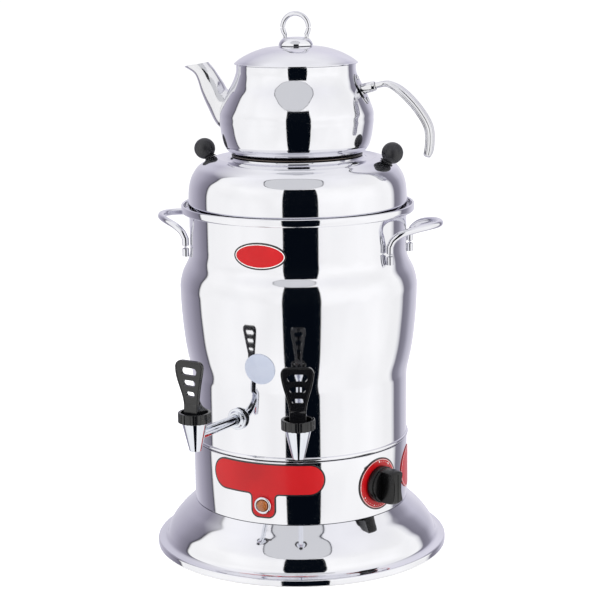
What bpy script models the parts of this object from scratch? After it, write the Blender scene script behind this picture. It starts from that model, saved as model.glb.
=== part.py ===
"""Electric samovar: a water tank on a heated base, two taps, and a teapot on its dome lid.

Metres, +Z up. The origin is the centre of the base, on the surface that the foot pads stand on.
The front faces -Y. Angles are measured round Z from the front towards +X.
"""

import math

import bmesh
import bpy
from mathutils import Vector

# Clearances and working values
REST_GAP = 0.0003
PASS_GAP = 0.0005
OVERRUN = 0.004
WELD = 0.000001
TURN_STEPS = 32
SMALL_STEPS = 12
CONE_STEPS = 20
PIN_STEPS = 8
VENT_STEPS = 6
PLATE_STEPS = 24
PANEL_ARC_STEPS = 4
ROUTE_STEPS = 2
FULL_TURN = math.tau
QUARTER_TURN = math.pi / 2
SHARP_ANGLE = math.radians(32)

# Sheet and stack of the urn
SHEET = 0.0010
BAND_RADIUS = 0.1228
FLANGE_WIDTH = 0.0068
SKIRT_RADIUS = 0.1670
SKIRT_HEIGHT = 0.0535
SKIRT_EDGE = 0.0015
BAND_HEIGHT = 0.0713
TANK_RADIUS = 0.1342
TANK_HEIGHT = 0.2601
TANK_FLOOR = 0.0015
SEAM_BULGE = 0.0021
SEAM_HEIGHT = 0.0066
SEAM_CHAMFER = 0.0015
LIP_RADIUS = 0.1312
LIP_HEIGHT = 0.0079
SKIRT_TOP = SKIRT_EDGE + SKIRT_HEIGHT
BAND_BOTTOM = SKIRT_TOP + REST_GAP
BAND_TOP = BAND_BOTTOM + BAND_HEIGHT
TANK_BOTTOM = BAND_TOP + REST_GAP
RIM_FLAT = TANK_BOTTOM + TANK_HEIGHT + SHEET

# Skirt outline: shares of its radius and of its height
SKIRT_SHARES = (
    (0.7784, 0.8692), (0.8234, 0.7383), (0.8665, 0.5888), (0.8982, 0.4579), (0.9192, 0.3271),
    (0.9341, 0.2150), (0.9521, 0.1589), (0.9964, 0.1215), (1.0, 0.0841), (1.0, 0.0),
)

# Tank wall: shares of the shoulder's radius and of the tank's height
TANK_SHARES = (
    (0.9121, 1.0), (0.9121, 0.8270), (0.9277, 0.7924), (0.9747, 0.7424), (0.9978, 0.6963), (1.0, 0.6540),
    (0.9925, 0.5656), (0.9732, 0.4579), (0.9501, 0.3810), (0.9210, 0.3118), (0.9136, 0.2734),
    (0.9106, 0.1042),
)

# Dome lid
DOME_RADIUS = 0.1229
DOME_HEIGHT = 0.0607
STEAM_HOLE_RADIUS = 0.0620
PLUG_INSET = 0.0033
PLUG_DEPTH = 0.0143
DOME_BOTTOM = RIM_FLAT + REST_GAP
DOME_SEAT = DOME_BOTTOM + DOME_HEIGHT
DOME_SHARES = (
    (0.6103, 1.0), (0.6347, 0.9506), (0.6916, 0.9506), (0.7320, 0.9840),
    (0.7974, 0.9506), (0.8462, 0.8929), (0.9032, 0.8188), (0.9398, 0.7282), (0.9723, 0.6046),
    (0.9927, 0.4399), (1.0, 0.2422), (1.0, 0.0),
)

# Ball knobs of the dome lid
BALL_RADIUS = 0.0120
BALL_STANDOFF = 0.0128
BALL_NECK_RADIUS = 0.0058
BALL_FLARE_RADIUS = 0.0078
BALL_FLARE_HEIGHT = 0.0008
BALL_SEAT_SHARE = 0.838
BALL_TILT = math.radians(57)
BALL_ROWS = 6

# Teapot
POT_RADIUS = 0.0859
POT_HEIGHT = 0.0984
POT_BASE_RADIUS = 0.0735
POT_BASE_THICKNESS = 0.0030
POT_BASE_CHAMFER = 0.0005
POT_BOTTOM = DOME_SEAT + REST_GAP
POT_FLOOR = POT_BOTTOM + POT_BASE_THICKNESS + REST_GAP
POT_RIM = POT_FLOOR + POT_HEIGHT
POT_SHARES = (
    (0.7753, 1.0), (0.7790, 0.9085), (0.8265, 0.7967), (0.8964, 0.6850),
    (0.9581, 0.5630), (0.9977, 0.4614), (1.0, 0.3902), (0.9988, 0.3293), (0.9779, 0.1972),
    (0.9430, 0.0854), (0.8906, 0.0224), (0.8324, 0.0), (0.0, 0.0),
)

# Spout: each row holds the lower edge, the upper edge and the half width, as shares of the
# reach and the pot's height, and of the half width at the root
SPOUT_REACH = 0.1310
SPOUT_ROOT_HALF_WIDTH = 0.0190
SPOUT_SIDES = 16
SPOUT_SHARES = (
    ((0.595, 0.2175), (0.534, 0.6850), 1.05), ((0.695, 0.2886), (0.626, 0.6850), 1.0),
    ((0.779, 0.4817), (0.672, 0.7764), 0.816), ((0.840, 0.6545), (0.714, 0.8577), 0.658),
    ((0.878, 0.8120), (0.748, 0.9238), 0.579), ((0.916, 0.8933), (0.775, 0.9644), 0.553),
    ((1.0, 0.9593), (0.798, 1.0), 0.526),
)
STRAINER_HOLE_RADIUS = 0.0022
STRAINER_PITCH = 0.0085
STRAINER_HEIGHT_SHARE = 0.50

# Teapot handle: shares of its reach and of the pot's height, and its own half widths
HANDLE_REACH = 0.1520
HANDLE_ROOT_RADIUS = 0.00325
HANDLE_HALF_WIDTH = 0.0110
HANDLE_HALF_THICKNESS = 0.0032
HANDLE_SIDES = 12
STRAP_SQUARE_SHARE = 0.6
HANDLE_SHARES = (
    ((0.558, 0.7450), 0.0), ((0.638, 0.7764), 0.0), ((0.668, 0.7835), 0.15), ((0.697, 0.7815), 0.45),
    ((0.745, 0.7520), 0.80), ((0.790, 0.7050), 0.95), ((0.836, 0.6443), 1.0), ((0.900, 0.5400), 1.0),
    ((0.957, 0.4207), 1.0), ((0.988, 0.3300), 1.0), ((1.0, 0.2581), 1.0), ((1.002, 0.1800), 1.0),
    ((1.0, 0.1057), 1.0), ((0.993, 0.0400), 0.97), ((0.985, 0.0020), 0.75), ((0.981, -0.0150), 0.35),
)
BOSS_RADIUS = 0.0065
BOSS_TILT = math.radians(14)
BOSS_REACH = 0.0910
BOSS_LENGTH = 0.0240
BRACKET_HALF_WIDTH = 0.0100
BRACKET_HALF_HEIGHT = 0.0160
BRACKET_THICKNESS = 0.0012
BRACKET_HEIGHT_SHARE = 0.7250
RIVET_OFFSET = 0.0118
RIVET_RADIUS = 0.0014
RIVET_HEAD_RADIUS = 0.0027
RIVET_HEAD_HEIGHT = 0.0014
RIVET_LENGTH = 0.0060

# Teapot lid, finial and ring
LID_RADIUS = 0.0690
LID_HEIGHT = 0.0192
LID_PLUG_INSET = 0.0044
LID_PLUG_DEPTH = 0.0058
LID_PLUG_TOP_SHARE = 0.1354
LID_SKIN_ROWS = 5
LID_HOLE_RADIUS = 0.0025
LID_BOTTOM = POT_RIM + REST_GAP
LID_TOP = LID_BOTTOM + LID_HEIGHT
LID_SHARES = (
    (0.2754, 1.0), (0.4928, 0.8958), (0.6232, 0.7656), (0.7391, 0.6094), (0.8551, 0.4010),
    (0.9420, 0.2031), (1.0, 0.0313), (1.0, 0.0),
)
FINIAL_RADIUS = 0.0190
FINIAL_HEIGHT = 0.0092
FINIAL_SHARES = (
    (0.0, 1.0), (0.6053, 1.0), (0.8158, 0.7826), (0.9632, 0.4565), (1.0, 0.2391), (0.9579, 0.0870),
    (0.7474, 0.0), (0.0, 0.0),
)
FINIAL_BOTTOM = LID_TOP + REST_GAP
FINIAL_TOP = FINIAL_BOTTOM + FINIAL_HEIGHT
RING_RADIUS = 0.01485
RING_WIRE_RADIUS = 0.00265
RING_LEG_SPREAD = 0.0115
RING_LIFT = 0.0110
RING_LEG_DEPTH = 0.0040
RING_STEPS = 14
LID_SCREW_RADIUS = 0.0020
LID_SCREW_HEAD_RADIUS = 0.0040
LID_SCREW_HEAD_HEIGHT = 0.0020
LID_SCREW_BITE = 0.0030

# Labels on the band and the tank
LABEL_THICKNESS = 0.0006
NAME_PANEL_ANGLE = math.radians(-2.05)
NAME_PANEL_LENGTH = 0.1360
NAME_PANEL_BOTTOM = 0.0890
NAME_PANEL_TOP = 0.1250
TAB_OFFSET = -0.0014
TAB_WIDTH = 0.0288
TAB_BOTTOM = 0.0623
TAB_CORNER = 0.0090
TAB_FILLET = 0.0040
DIAL_ANGLE = math.radians(62)
DIAL_HEIGHT = 0.0914
DIAL_PLATE_RADIUS = 0.0295
SIDE_BADGE_ANGLE = math.radians(97.5)
SIDE_BADGE_HALF_WIDTH = 0.0290
SIDE_BADGE_HALF_HEIGHT = 0.0240
SIDE_BADGE_HEIGHT = 0.0920
OVAL_BADGE_ANGLE = math.radians(-2.9)
OVAL_BADGE_HALF_WIDTH = 0.0290
OVAL_BADGE_HALF_HEIGHT = 0.0140
OVAL_BADGE_HEIGHT = 0.3550
STICKER_ANGLE = math.radians(-2.5)
STICKER_RADIUS = 0.0173
STICKER_HEIGHT = 0.2320

# Pilot lamp under the name panel
LAMP_ANGLE = math.radians(-2.7)
LAMP_HEIGHT = 0.0774
BEZEL_RADIUS = 0.0097
BEZEL_PROUD = 0.0032
BEZEL_CHAMFER = 0.0012
LENS_RADIUS = 0.0062
LENS_CROWN = 0.0026
LENS_LENGTH = 0.0120
LENS_RINGS = 3

# Thermostat and its knob
KNOB_RADIUS = 0.0205
KNOB_BASE_HEIGHT = 0.0100
KNOB_STEP_INSET = 0.0016
KNOB_STEP_HEIGHT = 0.0030
KNOB_HEIGHT = 0.0273
KNOB_EDGE = 0.0010
GRIP_RADIUS = 0.0196
GRIP_END_HALF_WIDTH = 0.0090
GRIP_WAIST_HALF_WIDTH = 0.0065
GRIP_ARC_STEPS = 4
GRIP_ROOT_SHARE = 0.45
GRIP_SIDE_STEPS = 6
SHAFT_RADIUS = 0.0030
SHAFT_BITE = 0.0120
THERMOSTAT_RADIUS = 0.0150
THERMOSTAT_LENGTH = 0.0240
THERMOSTAT_BORE_DEPTH = 0.0110

# Side handles of the tank
HANDLE_ROD_RADIUS = 0.0038
HANDLE_LEG_ANGLE = math.radians(21.3)
HANDLE_LEG_BOTTOM = 0.3370
HANDLE_BEND_START = 0.3550
HANDLE_APEX_REACH = 0.1630
HANDLE_APEX_HEIGHT = 0.3770
HANDLE_ROUTE_SHARES = (
    (0.02, 1.0, 0.16), (0.10, 0.995, 0.45), (0.30, 0.94, 0.73), (0.60, 0.74, 0.90),
    (0.83, 0.48, 0.97), (0.96, 0.22, 0.995),
)

# Taps, each built in its own frame: -Y points out of the tank at the tap's angle
TAP_ANGLE = math.radians(16.4)
TAP_REACH = 0.2025
STEM_HEIGHT = 0.1720
STEM_RADIUS = 0.0059
STEM_BORE_RADIUS = 0.0038
STEM_INNER_END = 0.1100
CONE_RISE = 0.0160
CONE_DROP = 0.0165
CONE_TOP = STEM_HEIGHT + CONE_RISE
CONE_BOTTOM = STEM_HEIGHT - CONE_DROP
CONE_TOP_RADIUS = 0.0142
CONE_BOTTOM_RADIUS = 0.00625
CONE_WALL = 0.0017
GASKET_RADIUS = 0.0108
GASKET_THICKNESS = 0.0018
ROSETTE_RADIUS = 0.0120
ROSETTE_THICKNESS = 0.0050
ROSETTE_NOSE_RADIUS = 0.0085
LOCKNUT_RADIUS = 0.0100
LOCKNUT_THICKNESS = 0.0040
LOCKNUT_SIDES = 6
BONNET_RADIUS = 0.01775
BONNET_CUP_RADIUS = 0.0145
BONNET_HEIGHT = 0.0103
BONNET_SKIRT = 0.0004
BONNET_PLUG_RADIUS = 0.0110
BONNET_PLUG_DEPTH = 0.0043
BONNET_WELL_RADIUS = 0.0095
BONNET_FLOOR = 0.0015
BONNET_HOLE_RADIUS = 0.0025

# Lever and spindle
PIVOT_FORWARD = 0.0060
PIVOT_RISE = 0.0055
PIVOT_HEIGHT = CONE_TOP + PIVOT_RISE
PIVOT_RADIUS = 0.0014
PIVOT_HOLE_RADIUS = 0.0017
PIVOT_HALF_LENGTH = 0.0158
LEVER_LENGTH = 0.0615
LEVER_FOOT_WIDTH = 0.0176
LEVER_TOP_WIDTH = 0.0350
LEVER_THICKNESS = 0.0050
LEVER_EDGE = 0.0008
LEVER_BOTTOM_DROP = 0.0020
LEVER_CORNER = 0.0034
LEVER_FLARE_START_SHARE = 0.20
LEVER_FLARE_LENGTH_SHARE = 0.73
LEVER_SWAY = 0.0015
LEVER_ROW_SHARES = (0.0, 0.10, 0.20, 0.30, 0.40, 0.50, 0.62, 0.75, 0.88, 0.945, 0.975, 0.99, 1.0)
LEVER_SLOT_SHARES = ((0.816, 0.300, 0.114), (0.613, 0.237, 0.094), (0.415, 0.177, 0.079))
HEEL_DEPTH = 0.0165
HEEL_RISE = 0.0340
HEEL_HALF_WIDTH = 0.0088
HEEL_WALL = 0.0014
HEEL_SHARES = (
    (1.0, 0.120), (0.850, 0.235), (0.545, 0.353), (0.303, 0.530), (0.150, 0.765), (0.060, 1.0),
)
HEEL_HOLLOW_SHARES = ((0.915, 0.105), (0.775, 0.205), (0.485, 0.315), (0.242, 0.490), (0.085, 0.735))
BARREL_RADIUS = 0.0029
ARM_ROOT = 0.0012
ARM_HALF_WIDTH = 0.0080
ARM_NOTCH = 0.0036
ARM_DROP = 0.0018
ARM_THICKNESS = 0.0016
ARM_REACH = 0.0086
SPINDLE_RADIUS = 0.0020
SPINDLE_HEAD_RADIUS = 0.0026
SPINDLE_HEAD_DROP = 0.0050
SPINDLE_HEAD_RISE = 0.0028
SPINDLE_RISE = 0.0075
SPINDLE_BOTTOM = CONE_BOTTOM + SPINDLE_RISE
CROSS_PIN_RADIUS = 0.0012
CROSS_PIN_HALF_LENGTH = 0.0070
SEAT_RISE = 0.0055
SEAT_LENGTH = 0.0050
SEAT_BOTTOM = CONE_BOTTOM + SEAT_RISE
SEAT_TOP = SEAT_BOTTOM + SEAT_LENGTH
SEAT_BOTTOM_RADIUS = 0.0055
SEAT_TOP_RADIUS = 0.0067

# Inside the base
COVER_HEIGHT = 0.0030
COVER_THICKNESS = 0.0012
VENT_RING_RADIUS = 0.0900
VENT_COUNT = 8
VENT_RADIUS = 0.0045
PAD_RADIUS = 0.0120
PAD_CHAMFER = 0.0010
PAD_STEM_RADIUS = 0.0030
PAD_STEM_HEIGHT = 0.0064
PAD_INSET = 0.0270
PAD_RING_RADIUS = SKIRT_RADIUS - PAD_INSET
PAD_FIRST_ANGLE = math.radians(45)
PAD_COUNT = 4
BOLT_RADIUS = 0.0030
BOLT_HEAD_RADIUS = 0.0060
BOLT_BITE = 0.0080
STUD_RADIUS = 0.0070
STUD_LENGTH = 0.0120
ELEMENT_RADIUS = 0.0042
ELEMENT_RING_RADIUS = 0.0700
ELEMENT_HEIGHT = 0.1480
ELEMENT_BEND = 0.0120
ELEMENT_END_ANGLE = math.radians(14)
ELEMENT_TAIL = 0.0180
ELEMENT_RING_STEPS = 20
ELEMENT_BEND_STEPS = 3
ELEMENT_NUT_RADIUS = 0.0085
ELEMENT_NUT_HEIGHT = 0.0045
TERMINAL_LENGTH = 0.0400
TERMINAL_DEPTH = 0.0160
TERMINAL_HEIGHT = 0.0140
TERMINAL_BACK = 0.0900
GLAND_HEIGHT = 0.0780
GLAND_RADIUS = 0.0100
GLAND_THREAD_RADIUS = 0.0072
GLAND_NOSE_RADIUS = 0.0078
GLAND_FLANGE = 0.0040
GLAND_LENGTH = 0.0150
GLAND_TAIL = 0.0130
GLAND_BORE_RADIUS = 0.0036


def clear_scene():
    """Remove every object that the scene starts with."""
    for item in list(bpy.data.objects):
        bpy.data.objects.remove(item, do_unlink=True)


def make_material(name, colour, roughness, metallic):
    """Return a Principled material with one colour."""
    material = bpy.data.materials.new(name)
    material.use_nodes = True
    shader = material.node_tree.nodes["Principled BSDF"]
    shader.inputs["Base Color"].default_value = (*colour, 1.0)
    shader.inputs["Roughness"].default_value = roughness
    shader.inputs["Metallic"].default_value = metallic
    material.diffuse_color = (*colour, 1.0)
    return material


def polished_steel():
    """Mirror-polished stainless steel of the urn and the pot."""
    return make_material("polished_steel", (0.78, 0.78, 0.80), 0.06, 1.0)


def chromed_brass():
    """Chrome over brass, as on the tap bodies."""
    return make_material("chromed_brass", (0.82, 0.83, 0.85), 0.05, 1.0)


def plain_steel():
    """Bare mill-finish steel of the inner fittings."""
    return make_material("plain_steel", (0.55, 0.55, 0.56), 0.35, 1.0)


def black_plastic():
    """Glossy black heat-proof plastic."""
    return make_material("black_plastic", (0.012, 0.012, 0.014), 0.22, 0.0)


def black_rubber():
    """Matte black rubber of pads and seals."""
    return make_material("black_rubber", (0.020, 0.020, 0.020), 0.75, 0.0)


def red_label():
    """Red printed foil with a black border."""
    return make_material("red_label", (0.74, 0.015, 0.028), 0.30, 0.0)


def pale_label():
    """Pale paper sticker."""
    return make_material("pale_label", (0.66, 0.69, 0.78), 0.50, 0.0)


def amber_lens():
    """Amber plastic of the lamp's lens."""
    return make_material("amber_lens", (0.85, 0.35, 0.03), 0.15, 0.0)


def brass():
    """Plain brass of nuts and bosses."""
    return make_material("brass", (0.70, 0.50, 0.20), 0.30, 1.0)


def shared_materials():
    """Return the materials of the object by name."""
    makers = (
        polished_steel, chromed_brass, plain_steel, black_plastic, black_rubber, red_label,
        pale_label, amber_lens, brass,
    )
    return {maker.__name__: maker() for maker in makers}


def link_object(name, data):
    """Put mesh or curve data into the scene as a named object."""
    item = bpy.data.objects.new(name, data)
    bpy.context.scene.collection.objects.link(item)
    return item


def finish_mesh(name, work):
    """Turn a bmesh into a smooth-shaded object whose faces point outwards."""
    bmesh.ops.recalc_face_normals(work, faces=work.faces)
    mesh = bpy.data.meshes.new(name)
    work.to_mesh(mesh)
    work.free()
    mesh.shade_smooth()
    mesh.set_sharp_from_angle(angle=SHARP_ANGLE)
    return link_object(name, mesh)


def share_outline(shares, radius, base, height):
    """Scale rows of shares to (radius, height) points."""
    return [(radius * across, base + height * up) for across, up in shares]


def offset_outline(outline, wall):
    """Return the outline moved inwards by a wall, with mitred corners.

    The outline runs from top to bottom down the outer side, so the outward
    normal of a step (dr, dz) is (-dz, dr).
    """
    normals = []
    for start, end in zip(outline, outline[1:]):
        run = (end[0] - start[0], end[1] - start[1])
        length = math.hypot(*run)
        normals.append((-run[1] / length, run[0] / length))
    before = [normals[0]] + normals
    after = normals + [normals[-1]]
    moved = []
    for point, first, second in zip(outline, before, after):
        spread = 1 + first[0] * second[0] + first[1] * second[1]
        moved.append((
            point[0] - wall * (first[0] + second[0]) / spread,
            point[1] - wall * (first[1] + second[1]) / spread,
        ))
    return moved


def turned(name, outline, closed=False, steps=TURN_STEPS):
    """Spin an outline of (radius, height) points round Z into one closed body."""
    work = bmesh.new()
    points = [work.verts.new((radius, 0.0, height)) for radius, height in outline]
    pairs = list(zip(points, points[1:]))
    if closed:
        pairs.append((points[-1], points[0]))
    edges = [work.edges.new(pair) for pair in pairs]
    bmesh.ops.spin(
        work, geom=points + edges, cent=(0.0, 0.0, 0.0), axis=(0.0, 0.0, 1.0),
        angle=FULL_TURN, steps=steps, use_merge=True, use_duplicate=False,
    )
    bmesh.ops.remove_doubles(work, verts=work.verts, dist=WELD)
    return finish_mesh(name, work)


def rod_outline(radius, low, high):
    """Outline of a plain cylinder."""
    return [(0.0, high), (radius, high), (radius, low), (0.0, low)]


def tube_outline(radius, bore, low, high):
    """Closed outline of a plain tube."""
    return [(radius, high), (radius, low), (bore, low), (bore, high)]


def prism(name, outline, low, high):
    """Extrude an outline of (x, y) points between two heights."""
    work = bmesh.new()
    base = work.faces.new([work.verts.new((across, along, low)) for across, along in outline])
    grown = bmesh.ops.extrude_face_region(work, geom=[base])
    tops = [item for item in grown["geom"] if isinstance(item, bmesh.types.BMVert)]
    bmesh.ops.translate(work, vec=(0.0, 0.0, high - low), verts=tops)
    return finish_mesh(name, work)


def loft(name, rings):
    """Skin a row of rings that have the same number of points, and cap both ends."""
    work = bmesh.new()
    rows = [[work.verts.new(point) for point in ring] for ring in rings]
    for lower, upper in zip(rows, rows[1:]):
        for index in range(len(lower)):
            after = (index + 1) % len(lower)
            work.faces.new((lower[index], lower[after], upper[after], upper[index]))
    work.faces.new(rows[0])
    work.faces.new(rows[-1])
    return finish_mesh(name, work)


def rod(name, points, radius, resolution=2):
    """Make a round rod with capped ends along a row of points."""
    data = bpy.data.curves.new(name, "CURVE")
    data.dimensions = "3D"
    data.bevel_depth = radius
    data.bevel_resolution = resolution
    data.use_fill_caps = True
    line = data.splines.new("POLY")
    line.points.add(len(points) - 1)
    for slot, point in zip(line.points, points):
        slot.co = (*point, 1.0)
    line.use_smooth = True
    return link_object(name, data)


def ellipse(half_width, half_height, steps):
    """Points round an ellipse."""
    turns = [FULL_TURN * step / steps for step in range(steps)]
    return [(half_width * math.cos(turn), half_height * math.sin(turn)) for turn in turns]


def arc(centre, radius, start, end, steps):
    """Points along an arc, both ends included."""
    turns = [start + (end - start) * step / steps for step in range(steps + 1)]
    return [(centre[0] + radius * math.cos(turn), centre[1] + radius * math.sin(turn)) for turn in turns]


def smooth_route(points, steps):
    """Points of a smooth curve through a row of route points."""
    row = [points[0] * 2 - points[1]] + points + [points[-1] * 2 - points[-2]]
    route = [points[0]]
    for before, start, end, after in zip(row, row[1:], row[2:], row[3:]):
        for step in range(1, steps + 1):
            share = step / steps
            square = share * share
            cube = square * share
            route.append((
                start * 2 + (end - before) * share + (before * 2 - start * 5 + end * 4 - after) * square
                + (start * 3 - before - end * 3 + after) * cube
            ) / 2)
    return route


def place_outward(item, angle, reach, height):
    """Turn local Z outwards at an angle round the urn and move the item to its place."""
    item.rotation_euler = (QUARTER_TURN, 0.0, angle)
    item.location = (reach * math.sin(angle), -reach * math.cos(angle), height)
    return item


def own(item, parent):
    """Hang an item on an empty without moving it out of the empty's frame."""
    item.parent = parent
    return item


def frame_at(name, angle, location=(0.0, 0.0, 0.0)):
    """Return an empty that stands at a place and is turned round Z."""
    empty = link_object(name, None)
    empty.rotation_euler = (0.0, 0.0, angle)
    empty.location = location
    return empty


def cut(target, cutter, operation="DIFFERENCE"):
    """Boolean a hidden cutter into a target."""
    cutter.hide_render = True
    cutter.display_type = "WIRE"
    step = target.modifiers.new(cutter.name, "BOOLEAN")
    step.operation = operation
    step.solver = "EXACT"
    step.object = cutter


def hole_cutter(name, radius, low, high, steps=SMALL_STEPS):
    """Cylinder that cuts a round hole along its own Z."""
    return turned(name, rod_outline(radius, low, high), steps=steps)


def dress(item, material):
    """Give an item its one material."""
    item.data.materials.append(material)
    return item


def flat_depth(radius, half_width):
    """Distance from the axis to a faceted wall's chord that is half_width to the side."""
    inner = radius * math.cos(math.pi / TURN_STEPS)
    return math.sqrt(inner * inner - half_width * half_width)


def radius_at(outline, height):
    """Radius of an outline where it passes a height."""
    for start, end in zip(outline, outline[1:]):
        if end[1] <= height <= start[1] and start[1] > end[1]:
            share = (start[1] - height) / (start[1] - end[1])
            return start[0] + (end[0] - start[0]) * share
    return outline[0][0]


def wrapped_plate(name, body_outline, angle, height, plan, thickness):
    """Thin plate that follows a turned body, cut to a plan of (arc, height) points."""
    inner = offset_outline(body_outline, -REST_GAP)
    outer = offset_outline(body_outline, -REST_GAP - thickness)
    plate = turned(name, outer + inner[::-1], closed=True)
    reach = radius_at(body_outline, height)
    flat = [(reach * math.sin(along / reach), up) for along, up in plan]
    stencil = place_outward(prism(name + "_stencil", flat, 0.0, reach), angle, reach / 2, height)
    cut(plate, stencil, "INTERSECT")
    return plate


def band_outline():
    """Outer side of the control band, top to bottom."""
    return [(BAND_RADIUS, BAND_TOP), (BAND_RADIUS, BAND_BOTTOM)]


def tank_wall():
    """Outer side of the tank between its rim and the seam, top to bottom."""
    return share_outline(TANK_SHARES, TANK_RADIUS, TANK_BOTTOM, TANK_HEIGHT)


def dome_wall():
    """Outer side of the dome lid, top to bottom."""
    return share_outline(DOME_SHARES, DOME_RADIUS, DOME_BOTTOM, DOME_HEIGHT)


def pot_wall():
    """Outer side of the teapot, top to bottom, with its floor."""
    return share_outline(POT_SHARES, POT_RADIUS, POT_FLOOR, POT_HEIGHT)


def tank_seam():
    """Outer side of the tank's seam bead, from the wall's foot down to the floor."""
    foot = tank_wall()[-1][0]
    return [
        (foot, TANK_BOTTOM + SEAM_HEIGHT), (foot + SEAM_BULGE, TANK_BOTTOM + SEAM_HEIGHT - SEAM_CHAMFER),
        (foot + SEAM_BULGE, TANK_BOTTOM + SEAM_CHAMFER), (BAND_RADIUS, TANK_BOTTOM),
    ]


def tank_clearance():
    """Hidden solid that trims what seats on the tank's wall."""
    skin = offset_outline(tank_wall() + tank_seam(), -REST_GAP)
    return turned("tank_clearance", [(0.0, skin[0][1])] + skin + [(0.0, skin[-1][1])])


def pot_clearance(name, gap):
    """Hidden solid, a gap larger than the teapot, that trims what seats on it."""
    skin = offset_outline(pot_wall(), -gap)
    return turned(name, [(0.0, skin[0][1])] + skin)


def make_skirt(materials):
    """Bell-shaped foot with a flat flange on top and a rolled rim below."""
    outline = [(BAND_RADIUS - FLANGE_WIDTH, SKIRT_TOP), (BAND_RADIUS, SKIRT_TOP)]
    outline += share_outline(SKIRT_SHARES, SKIRT_RADIUS, SKIRT_EDGE, SKIRT_HEIGHT)
    shell = outline + offset_outline(outline, SHEET)[::-1]
    return dress(turned("base_skirt", shell, closed=True), materials["polished_steel"])


def pad_places():
    """Centres of the foot pads."""
    places = []
    for index in range(PAD_COUNT):
        turn = PAD_FIRST_ANGLE + FULL_TURN * index / PAD_COUNT
        places.append((PAD_RING_RADIUS * math.cos(turn), PAD_RING_RADIUS * math.sin(turn), 0.0))
    return places


def make_cover(materials):
    """Flat bottom cover with its vents and its holes for the bolt and the pads."""
    outline = rod_outline(SKIRT_RADIUS - SHEET - REST_GAP, COVER_HEIGHT, COVER_HEIGHT + COVER_THICKNESS)
    cover = dress(turned("bottom_cover", outline), materials["plain_steel"])
    cut(cover, hole_cutter("cover_bolt_hole", BOLT_RADIUS + REST_GAP, 0.0, OVERRUN * 2))
    for index, place in enumerate(pad_places()):
        hole = hole_cutter(f"cover_pad_hole_{index + 1}", PAD_STEM_RADIUS + REST_GAP, 0.0, OVERRUN * 2)
        hole.location = place
        cut(cover, hole)
    for index in range(VENT_COUNT):
        turn = FULL_TURN * index / VENT_COUNT
        vent = hole_cutter(f"cover_vent_{index + 1}", VENT_RADIUS, 0.0, OVERRUN * 2, steps=VENT_STEPS)
        vent.location = (VENT_RING_RADIUS * math.cos(turn), VENT_RING_RADIUS * math.sin(turn), 0.0)
        cut(cover, vent)
    return cover


def make_pads(materials):
    """Rubber foot pads, each pressed into the cover by its stem."""
    top = COVER_HEIGHT - REST_GAP
    outline = [
        (0.0, PAD_STEM_HEIGHT), (PAD_STEM_RADIUS, PAD_STEM_HEIGHT), (PAD_STEM_RADIUS, top),
        (PAD_RADIUS, top), (PAD_RADIUS, PAD_CHAMFER), (PAD_RADIUS - PAD_CHAMFER, 0.0), (0.0, 0.0),
    ]
    for index, place in enumerate(pad_places()):
        pad = turned(f"foot_pad_{index + 1}", outline, steps=SMALL_STEPS)
        pad.location = place
        dress(pad, materials["black_rubber"])


def make_band(materials):
    """Control band between the skirt and the tank, with its lower flange."""
    outline = band_outline() + [(BAND_RADIUS - FLANGE_WIDTH, BAND_BOTTOM)]
    shell = outline + offset_outline(outline, SHEET)[::-1]
    band = dress(turned("control_band", shell, closed=True), materials["polished_steel"])
    openings = (
        ("band_shaft_hole", SHAFT_RADIUS + PASS_GAP, DIAL_ANGLE, DIAL_HEIGHT),
        ("band_lamp_hole", LENS_RADIUS + PASS_GAP, LAMP_ANGLE, LAMP_HEIGHT),
        ("band_gland_hole", GLAND_THREAD_RADIUS + REST_GAP, math.pi, GLAND_HEIGHT),
    )
    for name, radius, angle, height in openings:
        cut(band, place_outward(hole_cutter(name, radius, -OVERRUN, OVERRUN), angle, BAND_RADIUS, height))
    return band


def element_legs():
    """Places where the heating element passes the tank's floor."""
    across = ELEMENT_RING_RADIUS * math.sin(ELEMENT_END_ANGLE)
    back = ELEMENT_RING_RADIUS * math.cos(ELEMENT_END_ANGLE)
    return [(-across, back), (across, back)]


def make_tank(materials):
    """Water tank in one piece: floor, seam, bellied wall and rolled rim."""
    wall = tank_wall()
    under = TANK_BOTTOM + TANK_HEIGHT
    foot = wall[-1][0]
    rim = [(LIP_RADIUS, RIM_FLAT + LIP_HEIGHT), (LIP_RADIUS, under)]
    outer = rim + wall
    inner = offset_outline(outer, SHEET)
    inner[-1] = (foot - SHEET, TANK_BOTTOM + TANK_FLOOR)
    outline = [(0.0, TANK_BOTTOM + TANK_FLOOR)] + inner[::-1] + outer + tank_seam() + [(0.0, TANK_BOTTOM)]
    tank = dress(turned("tank", outline), materials["polished_steel"])
    for side, angle in (("left", -TAP_ANGLE), ("right", TAP_ANGLE)):
        hole = hole_cutter(f"tank_{side}_tap_hole", STEM_RADIUS + PASS_GAP, -OVERRUN, OVERRUN)
        cut(tank, place_outward(hole, angle, foot, STEM_HEIGHT))
    for index, (across, back) in enumerate(element_legs()):
        hole = hole_cutter(f"tank_element_hole_{index + 1}", ELEMENT_RADIUS + PASS_GAP, -OVERRUN, OVERRUN)
        hole.location = (across, back, TANK_BOTTOM)
        cut(tank, hole)
    return tank


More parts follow.
